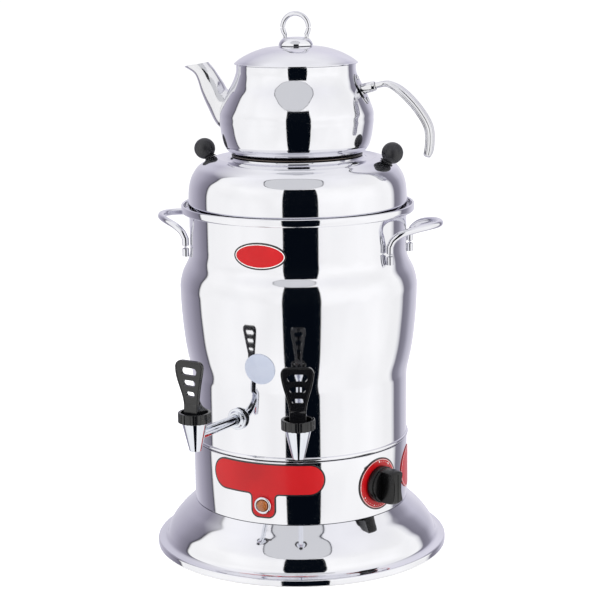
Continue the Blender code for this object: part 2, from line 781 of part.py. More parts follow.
def make_tie(materials):
    """Boss under the tank and the long bolt whose flat head is the middle foot."""
    top = TANK_BOTTOM - REST_GAP
    low = top - STUD_LENGTH
    reach = low + BOLT_BITE
    bore = BOLT_RADIUS + REST_GAP
    boss = [
        (0.0, top), (STUD_RADIUS, top), (STUD_RADIUS, low), (bore, low), (bore, reach + REST_GAP),
        (0.0, reach + REST_GAP),
    ]
    dress(turned("tank_boss", boss, steps=SMALL_STEPS), materials["brass"])
    seat = COVER_HEIGHT - REST_GAP
    bolt = [
        (0.0, reach), (BOLT_RADIUS, reach), (BOLT_RADIUS, seat), (BOLT_HEAD_RADIUS, seat),
        (BOLT_HEAD_RADIUS, 0.0), (0.0, 0.0),
    ]
    dress(turned("tie_bolt", bolt, steps=SMALL_STEPS), materials["plain_steel"])


def element_route():
    """Route of the heating element: up one leg, round the ring and down the other leg."""
    points = []
    (left, back), (right, _) = element_legs()
    bend_low = ELEMENT_HEIGHT - ELEMENT_BEND
    points.append(Vector((right, back, TANK_BOTTOM - ELEMENT_TAIL)))
    sweep = ELEMENT_BEND / ELEMENT_RING_RADIUS
    for step in range(ELEMENT_BEND_STEPS + 1):
        turn = QUARTER_TURN * step / ELEMENT_BEND_STEPS
        angle = ELEMENT_END_ANGLE + sweep * (1 - math.cos(turn))
        rise = bend_low + ELEMENT_BEND * math.sin(turn)
        points.append(Vector((
            ELEMENT_RING_RADIUS * math.sin(angle), ELEMENT_RING_RADIUS * math.cos(angle), rise,
        )))
    first = ELEMENT_END_ANGLE + sweep
    for step in range(1, ELEMENT_RING_STEPS):
        angle = first + (FULL_TURN - first * 2) * step / ELEMENT_RING_STEPS
        points.append(Vector((
            ELEMENT_RING_RADIUS * math.sin(angle), ELEMENT_RING_RADIUS * math.cos(angle), ELEMENT_HEIGHT,
        )))
    climb = points[:ELEMENT_BEND_STEPS + 2]
    points += [Vector((-point.x, point.y, point.z)) for point in climb[::-1]]
    return points


def make_element(materials):
    """Tubular heating element in the tank, with a nut under the floor on each leg."""
    dress(rod("heating_element", element_route(), ELEMENT_RADIUS, resolution=1), materials["plain_steel"])
    top = TANK_BOTTOM - REST_GAP
    nut = tube_outline(ELEMENT_NUT_RADIUS, ELEMENT_RADIUS + REST_GAP, top - ELEMENT_NUT_HEIGHT, top)
    for index, (across, back) in enumerate(element_legs()):
        item = turned(f"element_nut_{index + 1}", nut, closed=True, steps=LOCKNUT_SIDES * 2)
        item.location = (across, back, 0.0)
        dress(item, materials["brass"])


def make_terminal(materials):
    """Terminal block on the bottom cover."""
    low = COVER_HEIGHT + COVER_THICKNESS + REST_GAP
    half = TERMINAL_LENGTH / 2
    deep = TERMINAL_DEPTH / 2
    outline = [(-half, -deep), (half, -deep), (half, deep), (-half, deep)]
    block = prism("terminal_block", outline, low, low + TERMINAL_HEIGHT)
    block.location = (0.0, TERMINAL_BACK, 0.0)
    dress(block, materials["black_plastic"])


def make_gland(materials):
    """Cable gland in the back of the band."""
    flange = REST_GAP + GLAND_FLANGE
    outline = [
        (GLAND_NOSE_RADIUS, GLAND_LENGTH), (GLAND_NOSE_RADIUS, flange), (GLAND_RADIUS, flange),
        (GLAND_RADIUS, REST_GAP), (GLAND_THREAD_RADIUS, REST_GAP), (GLAND_THREAD_RADIUS, -GLAND_TAIL),
        (GLAND_BORE_RADIUS, -GLAND_TAIL), (GLAND_BORE_RADIUS, GLAND_LENGTH),
    ]
    gland = turned("cable_gland", outline, closed=True, steps=SMALL_STEPS)
    dress(place_outward(gland, math.pi, BAND_RADIUS, GLAND_HEIGHT), materials["black_plastic"])


def name_panel_plan():
    """Plan of the name panel: a long round-ended bar with a tab below its middle."""
    half_height = (NAME_PANEL_TOP - NAME_PANEL_BOTTOM) / 2
    middle = (NAME_PANEL_TOP + NAME_PANEL_BOTTOM) / 2
    end = NAME_PANEL_LENGTH / 2 - half_height
    left = TAB_OFFSET - TAB_WIDTH / 2
    right = TAB_OFFSET + TAB_WIDTH / 2
    low = TAB_BOTTOM - middle
    shoulder = -half_height - TAB_FILLET
    plan = arc((end, 0.0), half_height, -QUARTER_TURN, QUARTER_TURN, PANEL_ARC_STEPS * 2)
    plan += arc((-end, 0.0), half_height, QUARTER_TURN, QUARTER_TURN * 3, PANEL_ARC_STEPS * 2)
    plan += arc((left - TAB_FILLET, shoulder), TAB_FILLET, QUARTER_TURN, 0.0, PANEL_ARC_STEPS // 2)
    plan += arc((left + TAB_CORNER, low + TAB_CORNER), TAB_CORNER, math.pi, QUARTER_TURN * 3, PANEL_ARC_STEPS)
    plan += arc((right - TAB_CORNER, low + TAB_CORNER), TAB_CORNER, -QUARTER_TURN, 0.0, PANEL_ARC_STEPS)
    plan += arc((right + TAB_FILLET, shoulder), TAB_FILLET, math.pi, QUARTER_TURN, PANEL_ARC_STEPS // 2)
    return plan


def make_labels(materials):
    """Printed plates that lie on the band and on the tank."""
    middle = (NAME_PANEL_TOP + NAME_PANEL_BOTTOM) / 2
    panel = wrapped_plate(
        "name_panel", band_outline(), NAME_PANEL_ANGLE, middle, name_panel_plan(), LABEL_THICKNESS)
    hole = hole_cutter("panel_lamp_hole", LENS_RADIUS + PASS_GAP, -OVERRUN, OVERRUN)
    cut(panel, place_outward(hole, LAMP_ANGLE, BAND_RADIUS, LAMP_HEIGHT))
    dial = wrapped_plate(
        "dial_plate", band_outline(), DIAL_ANGLE, DIAL_HEIGHT,
        ellipse(DIAL_PLATE_RADIUS, DIAL_PLATE_RADIUS, PLATE_STEPS), LABEL_THICKNESS)
    hole = hole_cutter("dial_shaft_hole", SHAFT_RADIUS + PASS_GAP, -OVERRUN, OVERRUN)
    cut(dial, place_outward(hole, DIAL_ANGLE, BAND_RADIUS, DIAL_HEIGHT))
    side = wrapped_plate(
        "side_badge", band_outline(), SIDE_BADGE_ANGLE, SIDE_BADGE_HEIGHT,
        ellipse(SIDE_BADGE_HALF_WIDTH, SIDE_BADGE_HALF_HEIGHT, PLATE_STEPS), LABEL_THICKNESS)
    oval = wrapped_plate(
        "oval_badge", tank_wall(), OVAL_BADGE_ANGLE, OVAL_BADGE_HEIGHT,
        ellipse(OVAL_BADGE_HALF_WIDTH, OVAL_BADGE_HALF_HEIGHT, PLATE_STEPS), LABEL_THICKNESS)
    sticker = wrapped_plate(
        "round_sticker", tank_wall(), STICKER_ANGLE, STICKER_HEIGHT,
        ellipse(STICKER_RADIUS, STICKER_RADIUS, PLATE_STEPS), LABEL_THICKNESS)
    for plate in (panel, dial, side, oval):
        dress(plate, materials["red_label"])
    dress(sticker, materials["pale_label"])


def make_lamp(materials):
    """Pilot lamp: bright bezel on the panel's tab and a domed lens through the band."""
    back = REST_GAP * 2 + LABEL_THICKNESS
    front = back + BEZEL_PROUD
    bezel = [
        (BEZEL_RADIUS - BEZEL_CHAMFER, front), (BEZEL_RADIUS, front - BEZEL_CHAMFER), (BEZEL_RADIUS, back),
        (LENS_RADIUS + REST_GAP, back), (LENS_RADIUS + REST_GAP, front),
    ]
    ring = turned("lamp_bezel", bezel, closed=True, steps=TURN_STEPS // 2)
    dress(place_outward(ring, LAMP_ANGLE, BAND_RADIUS, LAMP_HEIGHT), materials["chromed_brass"])
    lens = [(0.0, front + LENS_CROWN)]
    for step in range(1, LENS_RINGS + 1):
        turn = QUARTER_TURN * step / LENS_RINGS
        lens.append((LENS_RADIUS * math.sin(turn), front + LENS_CROWN * math.cos(turn)))
    lens += [(LENS_RADIUS, back - LENS_LENGTH), (0.0, back - LENS_LENGTH)]
    dome = turned("lamp_lens", lens, steps=SMALL_STEPS)
    dress(place_outward(dome, LAMP_ANGLE, BAND_RADIUS, LAMP_HEIGHT), materials["amber_lens"])


def grip_plan():
    """Plan of the knob's grip: a full-width bar, drawn in at its waist."""
    spread = math.asin(GRIP_END_HALF_WIDTH / GRIP_RADIUS)
    tip = math.sqrt(GRIP_RADIUS ** 2 - GRIP_END_HALF_WIDTH ** 2)
    plan = arc((0.0, 0.0), GRIP_RADIUS, QUARTER_TURN - spread, QUARTER_TURN + spread, GRIP_ARC_STEPS)
    swell = GRIP_END_HALF_WIDTH - GRIP_WAIST_HALF_WIDTH
    for step in range(1, GRIP_SIDE_STEPS):
        share = 1 - 2 * step / GRIP_SIDE_STEPS
        plan.append((-GRIP_WAIST_HALF_WIDTH - swell * share ** 2, tip * share))
    return plan + [(-across, -along) for across, along in plan]


def make_thermostat(materials):
    """Thermostat behind the band, its shaft and its knob."""
    front = flat_depth(BAND_RADIUS - SHEET, THERMOSTAT_RADIUS) - REST_GAP
    bore = SHAFT_RADIUS + REST_GAP
    case = [
        (0.0, -THERMOSTAT_BORE_DEPTH), (bore, -THERMOSTAT_BORE_DEPTH), (bore, 0.0), (THERMOSTAT_RADIUS, 0.0),
        (THERMOSTAT_RADIUS, -THERMOSTAT_LENGTH), (0.0, -THERMOSTAT_LENGTH),
    ]
    body = turned("thermostat_body", case, steps=SMALL_STEPS)
    dress(place_outward(body, DIAL_ANGLE, front, DIAL_HEIGHT), materials["plain_steel"])
    back = BAND_RADIUS + REST_GAP * 2 + LABEL_THICKNESS
    depth = back - (front - THERMOSTAT_BORE_DEPTH) - REST_GAP
    shaft = turned(
        "thermostat_shaft", rod_outline(SHAFT_RADIUS, -depth, SHAFT_BITE - REST_GAP), steps=SMALL_STEPS)
    dress(place_outward(shaft, DIAL_ANGLE, back, DIAL_HEIGHT), materials["plain_steel"])
    ledge = KNOB_BASE_HEIGHT - KNOB_STEP_HEIGHT
    step_radius = KNOB_RADIUS - KNOB_STEP_INSET
    base = [
        (0.0, KNOB_BASE_HEIGHT), (step_radius - KNOB_EDGE, KNOB_BASE_HEIGHT),
        (step_radius, KNOB_BASE_HEIGHT - KNOB_EDGE), (step_radius, ledge), (KNOB_RADIUS - KNOB_EDGE, ledge),
        (KNOB_RADIUS, ledge - KNOB_EDGE), (KNOB_RADIUS, 0.0), (bore, 0.0), (bore, KNOB_BASE_HEIGHT / 2),
        (0.0, KNOB_BASE_HEIGHT / 2),
    ]
    knob = turned("thermostat_knob", base, steps=TURN_STEPS)
    grip = prism("grip_bar", grip_plan(), KNOB_BASE_HEIGHT * GRIP_ROOT_SHARE, KNOB_HEIGHT)
    place_outward(grip, DIAL_ANGLE, back, DIAL_HEIGHT)
    cut(knob, grip, "UNION")
    bore_tool = hole_cutter("knob_bore", bore, 0.0, SHAFT_BITE)
    cut(knob, place_outward(bore_tool, DIAL_ANGLE, back, DIAL_HEIGHT))
    dress(place_outward(knob, DIAL_ANGLE, back, DIAL_HEIGHT), materials["black_plastic"])


def side_handle_route(side):
    """Route of a side handle: up one leg, round the loop and down the other leg."""
    reach = radius_at(tank_wall(), HANDLE_LEG_BOTTOM) + HANDLE_ROD_RADIUS + REST_GAP
    out = reach * math.cos(HANDLE_LEG_ANGLE)
    spread = reach * math.sin(HANDLE_LEG_ANGLE)
    rise = HANDLE_APEX_HEIGHT - HANDLE_BEND_START
    leg = [Vector((out, spread, HANDLE_LEG_BOTTOM)), Vector((out, spread, HANDLE_BEND_START))]
    for outward, across, up in HANDLE_ROUTE_SHARES:
        leg.append(Vector((
            out + (HANDLE_APEX_REACH - out) * outward, spread * across, HANDLE_BEND_START + rise * up,
        )))
    far = [Vector((point.x, -point.y, point.z)) for point in leg[::-1]]
    whole = leg + [Vector((HANDLE_APEX_REACH, 0.0, HANDLE_APEX_HEIGHT))] + far
    return [Vector((side * point.x, point.y, point.z)) for point in smooth_route(whole, ROUTE_STEPS)]


def make_side_handles(materials):
    """Bent rod handles on the left and the right of the tank."""
    for name, side in (("side_handle_left", -1), ("side_handle_right", 1)):
        dress(rod(name, side_handle_route(side), HANDLE_ROD_RADIUS), materials["polished_steel"])


def stem_ring(name, outline, reach, frame, steps=SMALL_STEPS):
    """Ring that sits round a tap's stem, at a distance from the urn's axis."""
    ring = own(turned(name, outline, closed=True, steps=steps), frame)
    ring.rotation_euler = (QUARTER_TURN, 0.0, 0.0)
    ring.location = (0.0, -reach, STEM_HEIGHT)
    return ring


def head_part(item, frame):
    """Put a turned item on the upright axis of a tap's head."""
    own(item, frame)
    item.location = (0.0, -TAP_REACH, 0.0)
    return item


def cone_radius(height):
    """Outer radius of the tap's cone at a height."""
    share = (height - CONE_BOTTOM) / (CONE_TOP - CONE_BOTTOM)
    return CONE_BOTTOM_RADIUS + (CONE_TOP_RADIUS - CONE_BOTTOM_RADIUS) * share


def make_tap_body(side, frame, materials):
    """Cast tap body: a hollow cone, open above and below, with a bored stem into the tank."""
    cone = [
        (0.0, CONE_TOP), (CONE_TOP_RADIUS, CONE_TOP), (CONE_BOTTOM_RADIUS, CONE_BOTTOM), (0.0, CONE_BOTTOM),
    ]
    body = head_part(turned(f"tap_body_{side}", cone, steps=CONE_STEPS), frame)
    length = TAP_REACH - STEM_INNER_END
    stem = hole_cutter(f"tap_stem_{side}", STEM_RADIUS, -length, 0.0)
    bore = hole_cutter(f"tap_bore_{side}", STEM_BORE_RADIUS, -length - OVERRUN, 0.0)
    for tool in (stem, bore):
        own(tool, frame)
        tool.rotation_euler = (QUARTER_TURN, 0.0, 0.0)
        tool.location = (0.0, -TAP_REACH, STEM_HEIGHT)
    high = CONE_TOP + OVERRUN
    low = CONE_BOTTOM - OVERRUN
    hollow = [
        (0.0, high), (cone_radius(high) - CONE_WALL, high), (cone_radius(low) - CONE_WALL, low), (0.0, low),
    ]
    cavity = head_part(turned(f"tap_cavity_{side}", hollow, steps=CONE_STEPS), frame)
    cut(body, stem, "UNION")
    cut(body, cavity)
    cut(body, bore)
    dress(body, materials["chromed_brass"])


def make_stem_fittings(side, frame, trim, materials):
    """Gasket and rosette outside the tank's wall, and the locknut inside it."""
    wall = radius_at(tank_wall(), STEM_HEIGHT)
    bore = STEM_RADIUS + REST_GAP
    front = wall + GASKET_THICKNESS
    gasket = stem_ring(
        f"tap_gasket_{side}", tube_outline(GASKET_RADIUS, bore, -OVERRUN, 0.0), front, frame)
    cut(gasket, trim)
    dress(gasket, materials["black_rubber"])
    rosette = [
        (ROSETTE_NOSE_RADIUS, ROSETTE_THICKNESS), (ROSETTE_RADIUS, ROSETTE_THICKNESS / 2),
        (ROSETTE_RADIUS, 0.0), (bore, 0.0), (bore, ROSETTE_THICKNESS),
    ]
    dress(
        stem_ring(f"tap_rosette_{side}", rosette, front + REST_GAP, frame, steps=CONE_STEPS),
        materials["chromed_brass"])
    inside = flat_depth(wall - SHEET, LOCKNUT_RADIUS) - REST_GAP
    nut = tube_outline(LOCKNUT_RADIUS, bore, -LOCKNUT_THICKNESS, 0.0)
    dress(
        stem_ring(f"tap_locknut_{side}", nut, inside, frame, steps=LOCKNUT_SIDES * 2),
        materials["brass"])


def pivot_rod(name, radius, half_length, frame, steps=SMALL_STEPS):
    """Cylinder across the tap on the lever's pivot axis."""
    item = own(hole_cutter(name, radius, -half_length, half_length, steps=steps), frame)
    item.rotation_euler = (0.0, QUARTER_TURN, 0.0)
    item.location = (0.0, -TAP_REACH - PIVOT_FORWARD, PIVOT_HEIGHT)
    return item


def make_bonnet(side, frame, materials):
    """Round black bonnet that plugs the cone and carries the lever's pivot pin."""
    low = CONE_TOP - BONNET_SKIRT
    high = CONE_TOP + BONNET_HEIGHT
    under = CONE_TOP + REST_GAP
    plug = CONE_TOP - BONNET_PLUG_DEPTH
    outline = [
        (BONNET_RADIUS, high), (BONNET_RADIUS, low), (BONNET_CUP_RADIUS, low), (BONNET_CUP_RADIUS, under),
        (BONNET_PLUG_RADIUS, under), (BONNET_PLUG_RADIUS, plug), (BONNET_HOLE_RADIUS, plug),
        (BONNET_HOLE_RADIUS, plug + BONNET_FLOOR), (BONNET_WELL_RADIUS, plug + BONNET_FLOOR),
        (BONNET_WELL_RADIUS, under + BONNET_FLOOR), (BONNET_CUP_RADIUS, under + BONNET_FLOOR),
        (BONNET_CUP_RADIUS, high),
    ]
    bonnet = head_part(turned(f"tap_bonnet_{side}", outline, closed=True, steps=CONE_STEPS), frame)
    reach = BONNET_RADIUS + OVERRUN
    cut(bonnet, pivot_rod(f"bonnet_pin_hole_{side}", PIVOT_HOLE_RADIUS, reach, frame))
    dress(bonnet, materials["black_plastic"])
    pin = pivot_rod(f"tap_pivot_pin_{side}", PIVOT_RADIUS, PIVOT_HALF_LENGTH, frame, steps=PIN_STEPS)
    dress(pin, materials["plain_steel"])


def lever_ring(share):
    """Eight-sided section of the lever's blade, at a share of its height."""
    tall = LEVER_LENGTH + LEVER_BOTTOM_DROP
    rise = tall * share - LEVER_BOTTOM_DROP
    flare = min(max((share - LEVER_FLARE_START_SHARE) / LEVER_FLARE_LENGTH_SHARE, 0.0), 1.0)
    spread = flare * flare * (3 - 2 * flare)
    half = (LEVER_FOOT_WIDTH + (LEVER_TOP_WIDTH - LEVER_FOOT_WIDTH) * spread) / 2
    left = tall * (1 - share)
    if left < LEVER_CORNER:
        half -= LEVER_CORNER - math.sqrt(LEVER_CORNER ** 2 - (LEVER_CORNER - left) ** 2)
    deep = LEVER_THICKNESS / 2
    middle = LEVER_SWAY * math.sin(FULL_TURN * share)
    section = (
        (half - LEVER_EDGE, -deep), (half, LEVER_EDGE - deep), (half, deep - LEVER_EDGE),
        (half - LEVER_EDGE, deep), (LEVER_EDGE - half, deep), (-half, deep - LEVER_EDGE),
        (-half, LEVER_EDGE - deep), (LEVER_EDGE - half, -deep),
    )
    return [(across, middle + through, rise) for across, through in section]


def heel_prism(name, shares, low, half_width, frame):
    """Prism across the tap whose side profile flares back from the lever's blade."""
    back = HEEL_DEPTH * shares[0][0]
    profile = [(0.0, low), (back, low)]
    profile += [(HEEL_DEPTH * across, HEEL_RISE * up) for across, up in shares]
    profile.append((0.0, profile[-1][1]))
    item = own(prism(name, profile, -half_width, half_width), frame)
    item.rotation_euler = (QUARTER_TURN, 0.0, QUARTER_TURN)
    item.location = (0.0, -TAP_REACH - PIVOT_FORWARD, PIVOT_HEIGHT)
    return item


def make_lever(side, frame, materials):
    """Lever with a hooded heel, a pivot barrel, two arms under the cross pin and three slots."""
    blade = loft(f"tap_lever_{side}", [lever_ring(share) for share in LEVER_ROW_SHARES])
    place = (0.0, -TAP_REACH - PIVOT_FORWARD, PIVOT_HEIGHT)
    barrel = pivot_rod(f"lever_barrel_{side}", BARREL_RADIUS, ARM_HALF_WIDTH, frame)
    low = -ARM_DROP - ARM_THICKNESS
    arms = prism(
        f"lever_arms_{side}",
        [(-ARM_HALF_WIDTH, 0.0), (ARM_HALF_WIDTH, 0.0), (ARM_HALF_WIDTH, ARM_REACH), (ARM_NOTCH, ARM_REACH),
         (ARM_NOTCH, ARM_ROOT), (-ARM_NOTCH, ARM_ROOT), (-ARM_NOTCH, ARM_REACH),
         (-ARM_HALF_WIDTH, ARM_REACH)],
        low, low + ARM_THICKNESS)
    heel = heel_prism(f"lever_heel_{side}", HEEL_SHARES, low, HEEL_HALF_WIDTH, frame)
    hollow = heel_prism(
        f"lever_hollow_{side}", HEEL_HOLLOW_SHARES, low - OVERRUN, HEEL_HALF_WIDTH - HEEL_WALL, frame)
    cut(heel, hollow)
    for piece in (heel, barrel, arms):
        cut(blade, piece, "UNION")
    cut(blade, pivot_rod(f"lever_pin_hole_{side}", PIVOT_HOLE_RADIUS, LEVER_TOP_WIDTH, frame))
    for index, (up, wide, high) in enumerate(LEVER_SLOT_SHARES):
        half_height = LEVER_TOP_WIDTH * high
        end = LEVER_TOP_WIDTH * wide - half_height
        plan = arc((end, 0.0), half_height, -QUARTER_TURN, QUARTER_TURN, PANEL_ARC_STEPS)
        plan += arc((-end, 0.0), half_height, QUARTER_TURN, QUARTER_TURN * 3, PANEL_ARC_STEPS)
        slot = own(prism(f"lever_slot_{side}_{index + 1}", plan, -LEVER_THICKNESS, LEVER_THICKNESS), frame)
        slot.rotation_euler = (QUARTER_TURN, 0.0, 0.0)
        slot.location = (place[0], place[1], PIVOT_HEIGHT + LEVER_LENGTH * up)
        cut(blade, slot)
    for item in (blade, arms):
        own(item, frame)
        item.location = place
    dress(blade, materials["black_plastic"])


def make_spindle(side, frame, materials):
    """Spindle with its cross pin above, and the rubber seat plug on its lower end."""
    outline = [
        (0.0, PIVOT_HEIGHT + SPINDLE_HEAD_RISE), (SPINDLE_HEAD_RADIUS, PIVOT_HEIGHT + SPINDLE_HEAD_RISE),
        (SPINDLE_HEAD_RADIUS, PIVOT_HEIGHT - SPINDLE_HEAD_DROP),
        (SPINDLE_RADIUS, PIVOT_HEIGHT - SPINDLE_HEAD_DROP),
        (SPINDLE_RADIUS, SPINDLE_BOTTOM), (0.0, SPINDLE_BOTTOM),
    ]
    spindle = head_part(turned(f"tap_spindle_{side}", outline, steps=SMALL_STEPS), frame)
    pin = pivot_rod(
        f"spindle_cross_pin_{side}", CROSS_PIN_RADIUS, CROSS_PIN_HALF_LENGTH, frame, steps=PIN_STEPS)
    pin.location = (0.0, -TAP_REACH, PIVOT_HEIGHT - ARM_DROP + REST_GAP + CROSS_PIN_RADIUS)
    cut(spindle, pin, "UNION")
    dress(spindle, materials["plain_steel"])
    bore = SPINDLE_RADIUS + REST_GAP
    plug = [
        (0.0, SPINDLE_BOTTOM - REST_GAP), (bore, SPINDLE_BOTTOM - REST_GAP), (bore, SEAT_TOP),
        (SEAT_TOP_RADIUS, SEAT_TOP), (SEAT_BOTTOM_RADIUS, SEAT_BOTTOM), (0.0, SEAT_BOTTOM),
    ]
    dress(head_part(turned(f"tap_seat_{side}", plug, steps=SMALL_STEPS), frame), materials["black_rubber"])


def make_taps(materials):
    """Both taps, each built in its own frame."""
    trim = tank_clearance()
    for side, angle in (("left", -TAP_ANGLE), ("right", TAP_ANGLE)):
        frame = frame_at(f"tap_frame_{side}", angle)
        make_tap_body(side, frame, materials)
        make_stem_fittings(side, frame, trim, materials)
        make_bonnet(side, frame, materials)
        make_lever(side, frame, materials)
        make_spindle(side, frame, materials)


def make_dome(materials):
    """Dome lid: seat for the teapot round its steam hole, crest, shoulder and plug."""
    outer = [(STEAM_HOLE_RADIUS, DOME_SEAT)] + dome_wall()
    plug = DOME_RADIUS - PLUG_INSET
    low = DOME_BOTTOM - PLUG_DEPTH
    inner = offset_outline(outer, SHEET)
    inner[-1] = (DOME_RADIUS - SHEET, DOME_BOTTOM + SHEET)
    foot = [
        (plug, DOME_BOTTOM), (plug, low), (plug - SHEET, low), (plug - SHEET, DOME_BOTTOM + SHEET),
    ]
    dome = turned("dome_lid", outer + foot + inner[::-1], closed=True)
    dress(dome, materials["polished_steel"])


def wall_frame(outline, height):
    """Radius and outward tilt of a turned wall at a height."""
    for start, end in zip(outline, outline[1:]):
        if end[1] <= height < start[1]:
            return radius_at(outline, height), math.atan2(end[0] - start[0], start[1] - end[1])
    return outline[0][0], 0.0


def ball_outline():
    """Ball knob on a short flared neck, top to bottom."""
    centre = BALL_STANDOFF
    join = math.sqrt(BALL_RADIUS ** 2 - BALL_NECK_RADIUS ** 2)
    last = math.pi - math.atan2(BALL_NECK_RADIUS, join)
    outline = [(0.0, centre + BALL_RADIUS)]
    for step in range(1, BALL_ROWS + 1):
        turn = last * step / BALL_ROWS
        outline.append((BALL_RADIUS * math.sin(turn), centre + BALL_RADIUS * math.cos(turn)))
    foot = REST_GAP * 2
    flare = foot + BALL_FLARE_HEIGHT
    return outline + [(BALL_NECK_RADIUS, flare), (BALL_FLARE_RADIUS, foot), (0.0, foot)]


def make_ball_knobs(materials):
    """Black ball knobs on the left and the right of the dome lid."""
    reach = DOME_RADIUS * BALL_SEAT_SHARE
    height = DOME_BOTTOM
    for start, end in zip(dome_wall(), dome_wall()[1:]):
        if start[0] <= reach <= end[0] and end[0] > start[0]:
            height = start[1] + (end[1] - start[1]) * (reach - start[0]) / (end[0] - start[0])
    for side, sign in (("left", -1), ("right", 1)):
        knob = turned(f"dome_knob_{side}", ball_outline(), steps=CONE_STEPS)
        knob.rotation_euler = (0.0, sign * (QUARTER_TURN - BALL_TILT), 0.0)
        knob.location = (sign * reach, 0.0, height)
        dress(knob, materials["black_plastic"])


def pot_point(across, up, reach):
    """Point beside the pot from shares of a reach and of the pot's height."""
    return Vector((reach * across, 0.0, POT_FLOOR + POT_HEIGHT * up))


def spout_ring(row, inset):
    """Ring of points round the spout at one row, drawn in by a wall."""
    low = pot_point(-row[0][0], row[0][1], SPOUT_REACH)
    high = pot_point(-row[1][0], row[1][1], SPOUT_REACH)
    middle = (low + high) / 2
    rise = (high - low) / 2
    rise *= (rise.length - inset) / rise.length
    half = SPOUT_ROOT_HALF_WIDTH * row[2] - inset
    ring = []
    for index in range(SPOUT_SIDES):
        turn = FULL_TURN * index / SPOUT_SIDES
        ring.append(middle + rise * math.cos(turn) + Vector((0.0, half * math.sin(turn), 0.0)))
    return ring


def make_spout(materials):
    """Hollow spout, open at its mouth and at the pot's wall."""
    spout = loft("teapot_spout", [spout_ring(row, 0.0) for row in SPOUT_SHARES])
    inner = [spout_ring(row, SHEET) for row in SPOUT_SHARES]
    lift = Vector((0.0, 0.0, OVERRUN))
    inner.append([point + lift for point in inner[-1]])
    hollow = loft("spout_hollow", inner)
    cut(spout, pot_clearance("spout_clearance", REST_GAP))
    cut(spout, hollow)
    dress(spout, materials["polished_steel"])


def rivet_places():
    """Height of each rivet of the handle's bracket, by name."""
    middle = POT_FLOOR + POT_HEIGHT * BRACKET_HEIGHT_SHARE
    return (("lower", middle - RIVET_OFFSET), ("upper", middle + RIVET_OFFSET))


def rivet_pose(item, height):
    """Stand an item on the pot's wall where a rivet goes, along the wall's own normal."""
    radius, tilt = wall_frame(pot_wall(), height)
    item.rotation_euler = (0.0, QUARTER_TURN - tilt, 0.0)
    item.location = (radius, 0.0, height)
    return item


def make_pot_body(materials):
    """Teapot body with its strainer holes and its rivet holes."""
    outer = pot_wall()
    shell = offset_outline(outer, SHEET)[::-1] + outer
    pot = dress(turned("teapot_body", shell), materials["polished_steel"])
    height = POT_FLOOR + POT_HEIGHT * STRAINER_HEIGHT_SHARE
    reach = radius_at(outer, height)
    places = ((0, 0), (-1, 0), (1, 0), (0, -1), (0, 1))
    for index, (across, up) in enumerate(places):
        hole = hole_cutter(
            f"strainer_hole_{index + 1}", STRAINER_HOLE_RADIUS, -OVERRUN, OVERRUN, steps=VENT_STEPS)
        hole.rotation_euler = (0.0, QUARTER_TURN, 0.0)
        hole.location = (-reach, across * STRAINER_PITCH, height + up * STRAINER_PITCH)
        cut(pot, hole)
    for name, level in rivet_places():
        hole = hole_cutter(
            f"pot_rivet_hole_{name}", RIVET_RADIUS + REST_GAP, -OVERRUN, OVERRUN, steps=PIN_STEPS)
        cut(pot, rivet_pose(hole, level))


def make_pot_base(materials):
    """Thick base disc under the teapot's floor."""
    top = POT_BOTTOM + POT_BASE_THICKNESS
    outline = [
        (0.0, top), (POT_BASE_RADIUS - POT_BASE_CHAMFER, top), (POT_BASE_RADIUS, top - POT_BASE_CHAMFER),
        (POT_BASE_RADIUS, POT_BOTTOM + POT_BASE_CHAMFER), (POT_BASE_RADIUS - POT_BASE_CHAMFER, POT_BOTTOM),
        (0.0, POT_BOTTOM),
    ]
    dress(turned("teapot_base", outline), materials["polished_steel"])


def handle_route():
    """Centre points of the teapot's handle with its fullness at each point."""
    return [(pot_point(place[0], place[1], HANDLE_REACH), full) for place, full in HANDLE_SHARES]


def make_pot_handle(materials):
    """Handle that starts as a round rod and widens into a curved strap with a free end."""
    route = handle_route()
    rings = []
    for index, (centre, full) in enumerate(route):
        before = route[max(index - 1, 0)][0]
        after = route[min(index + 1, len(route) - 1)][0]
        run = (after - before).normalized()
        normal = Vector((-run.z, 0.0, run.x))
        half_width = HANDLE_ROOT_RADIUS + (HANDLE_HALF_WIDTH - HANDLE_ROOT_RADIUS) * full
        half_depth = HANDLE_ROOT_RADIUS + (HANDLE_HALF_THICKNESS - HANDLE_ROOT_RADIUS) * full
        ring = []
        for step in range(HANDLE_SIDES):
            turn = FULL_TURN * step / HANDLE_SIDES
            across = math.cos(turn)
            through = math.sin(turn)
            square = max(abs(across), abs(through))
            flat = 1 + (1 / square - 1) * full * STRAP_SQUARE_SHARE
            ring.append(
                centre + Vector((0.0, half_width * across, 0.0)) + normal * (half_depth * through * flat))
        rings.append(ring)
    dress(loft("teapot_handle", rings), materials["polished_steel"])


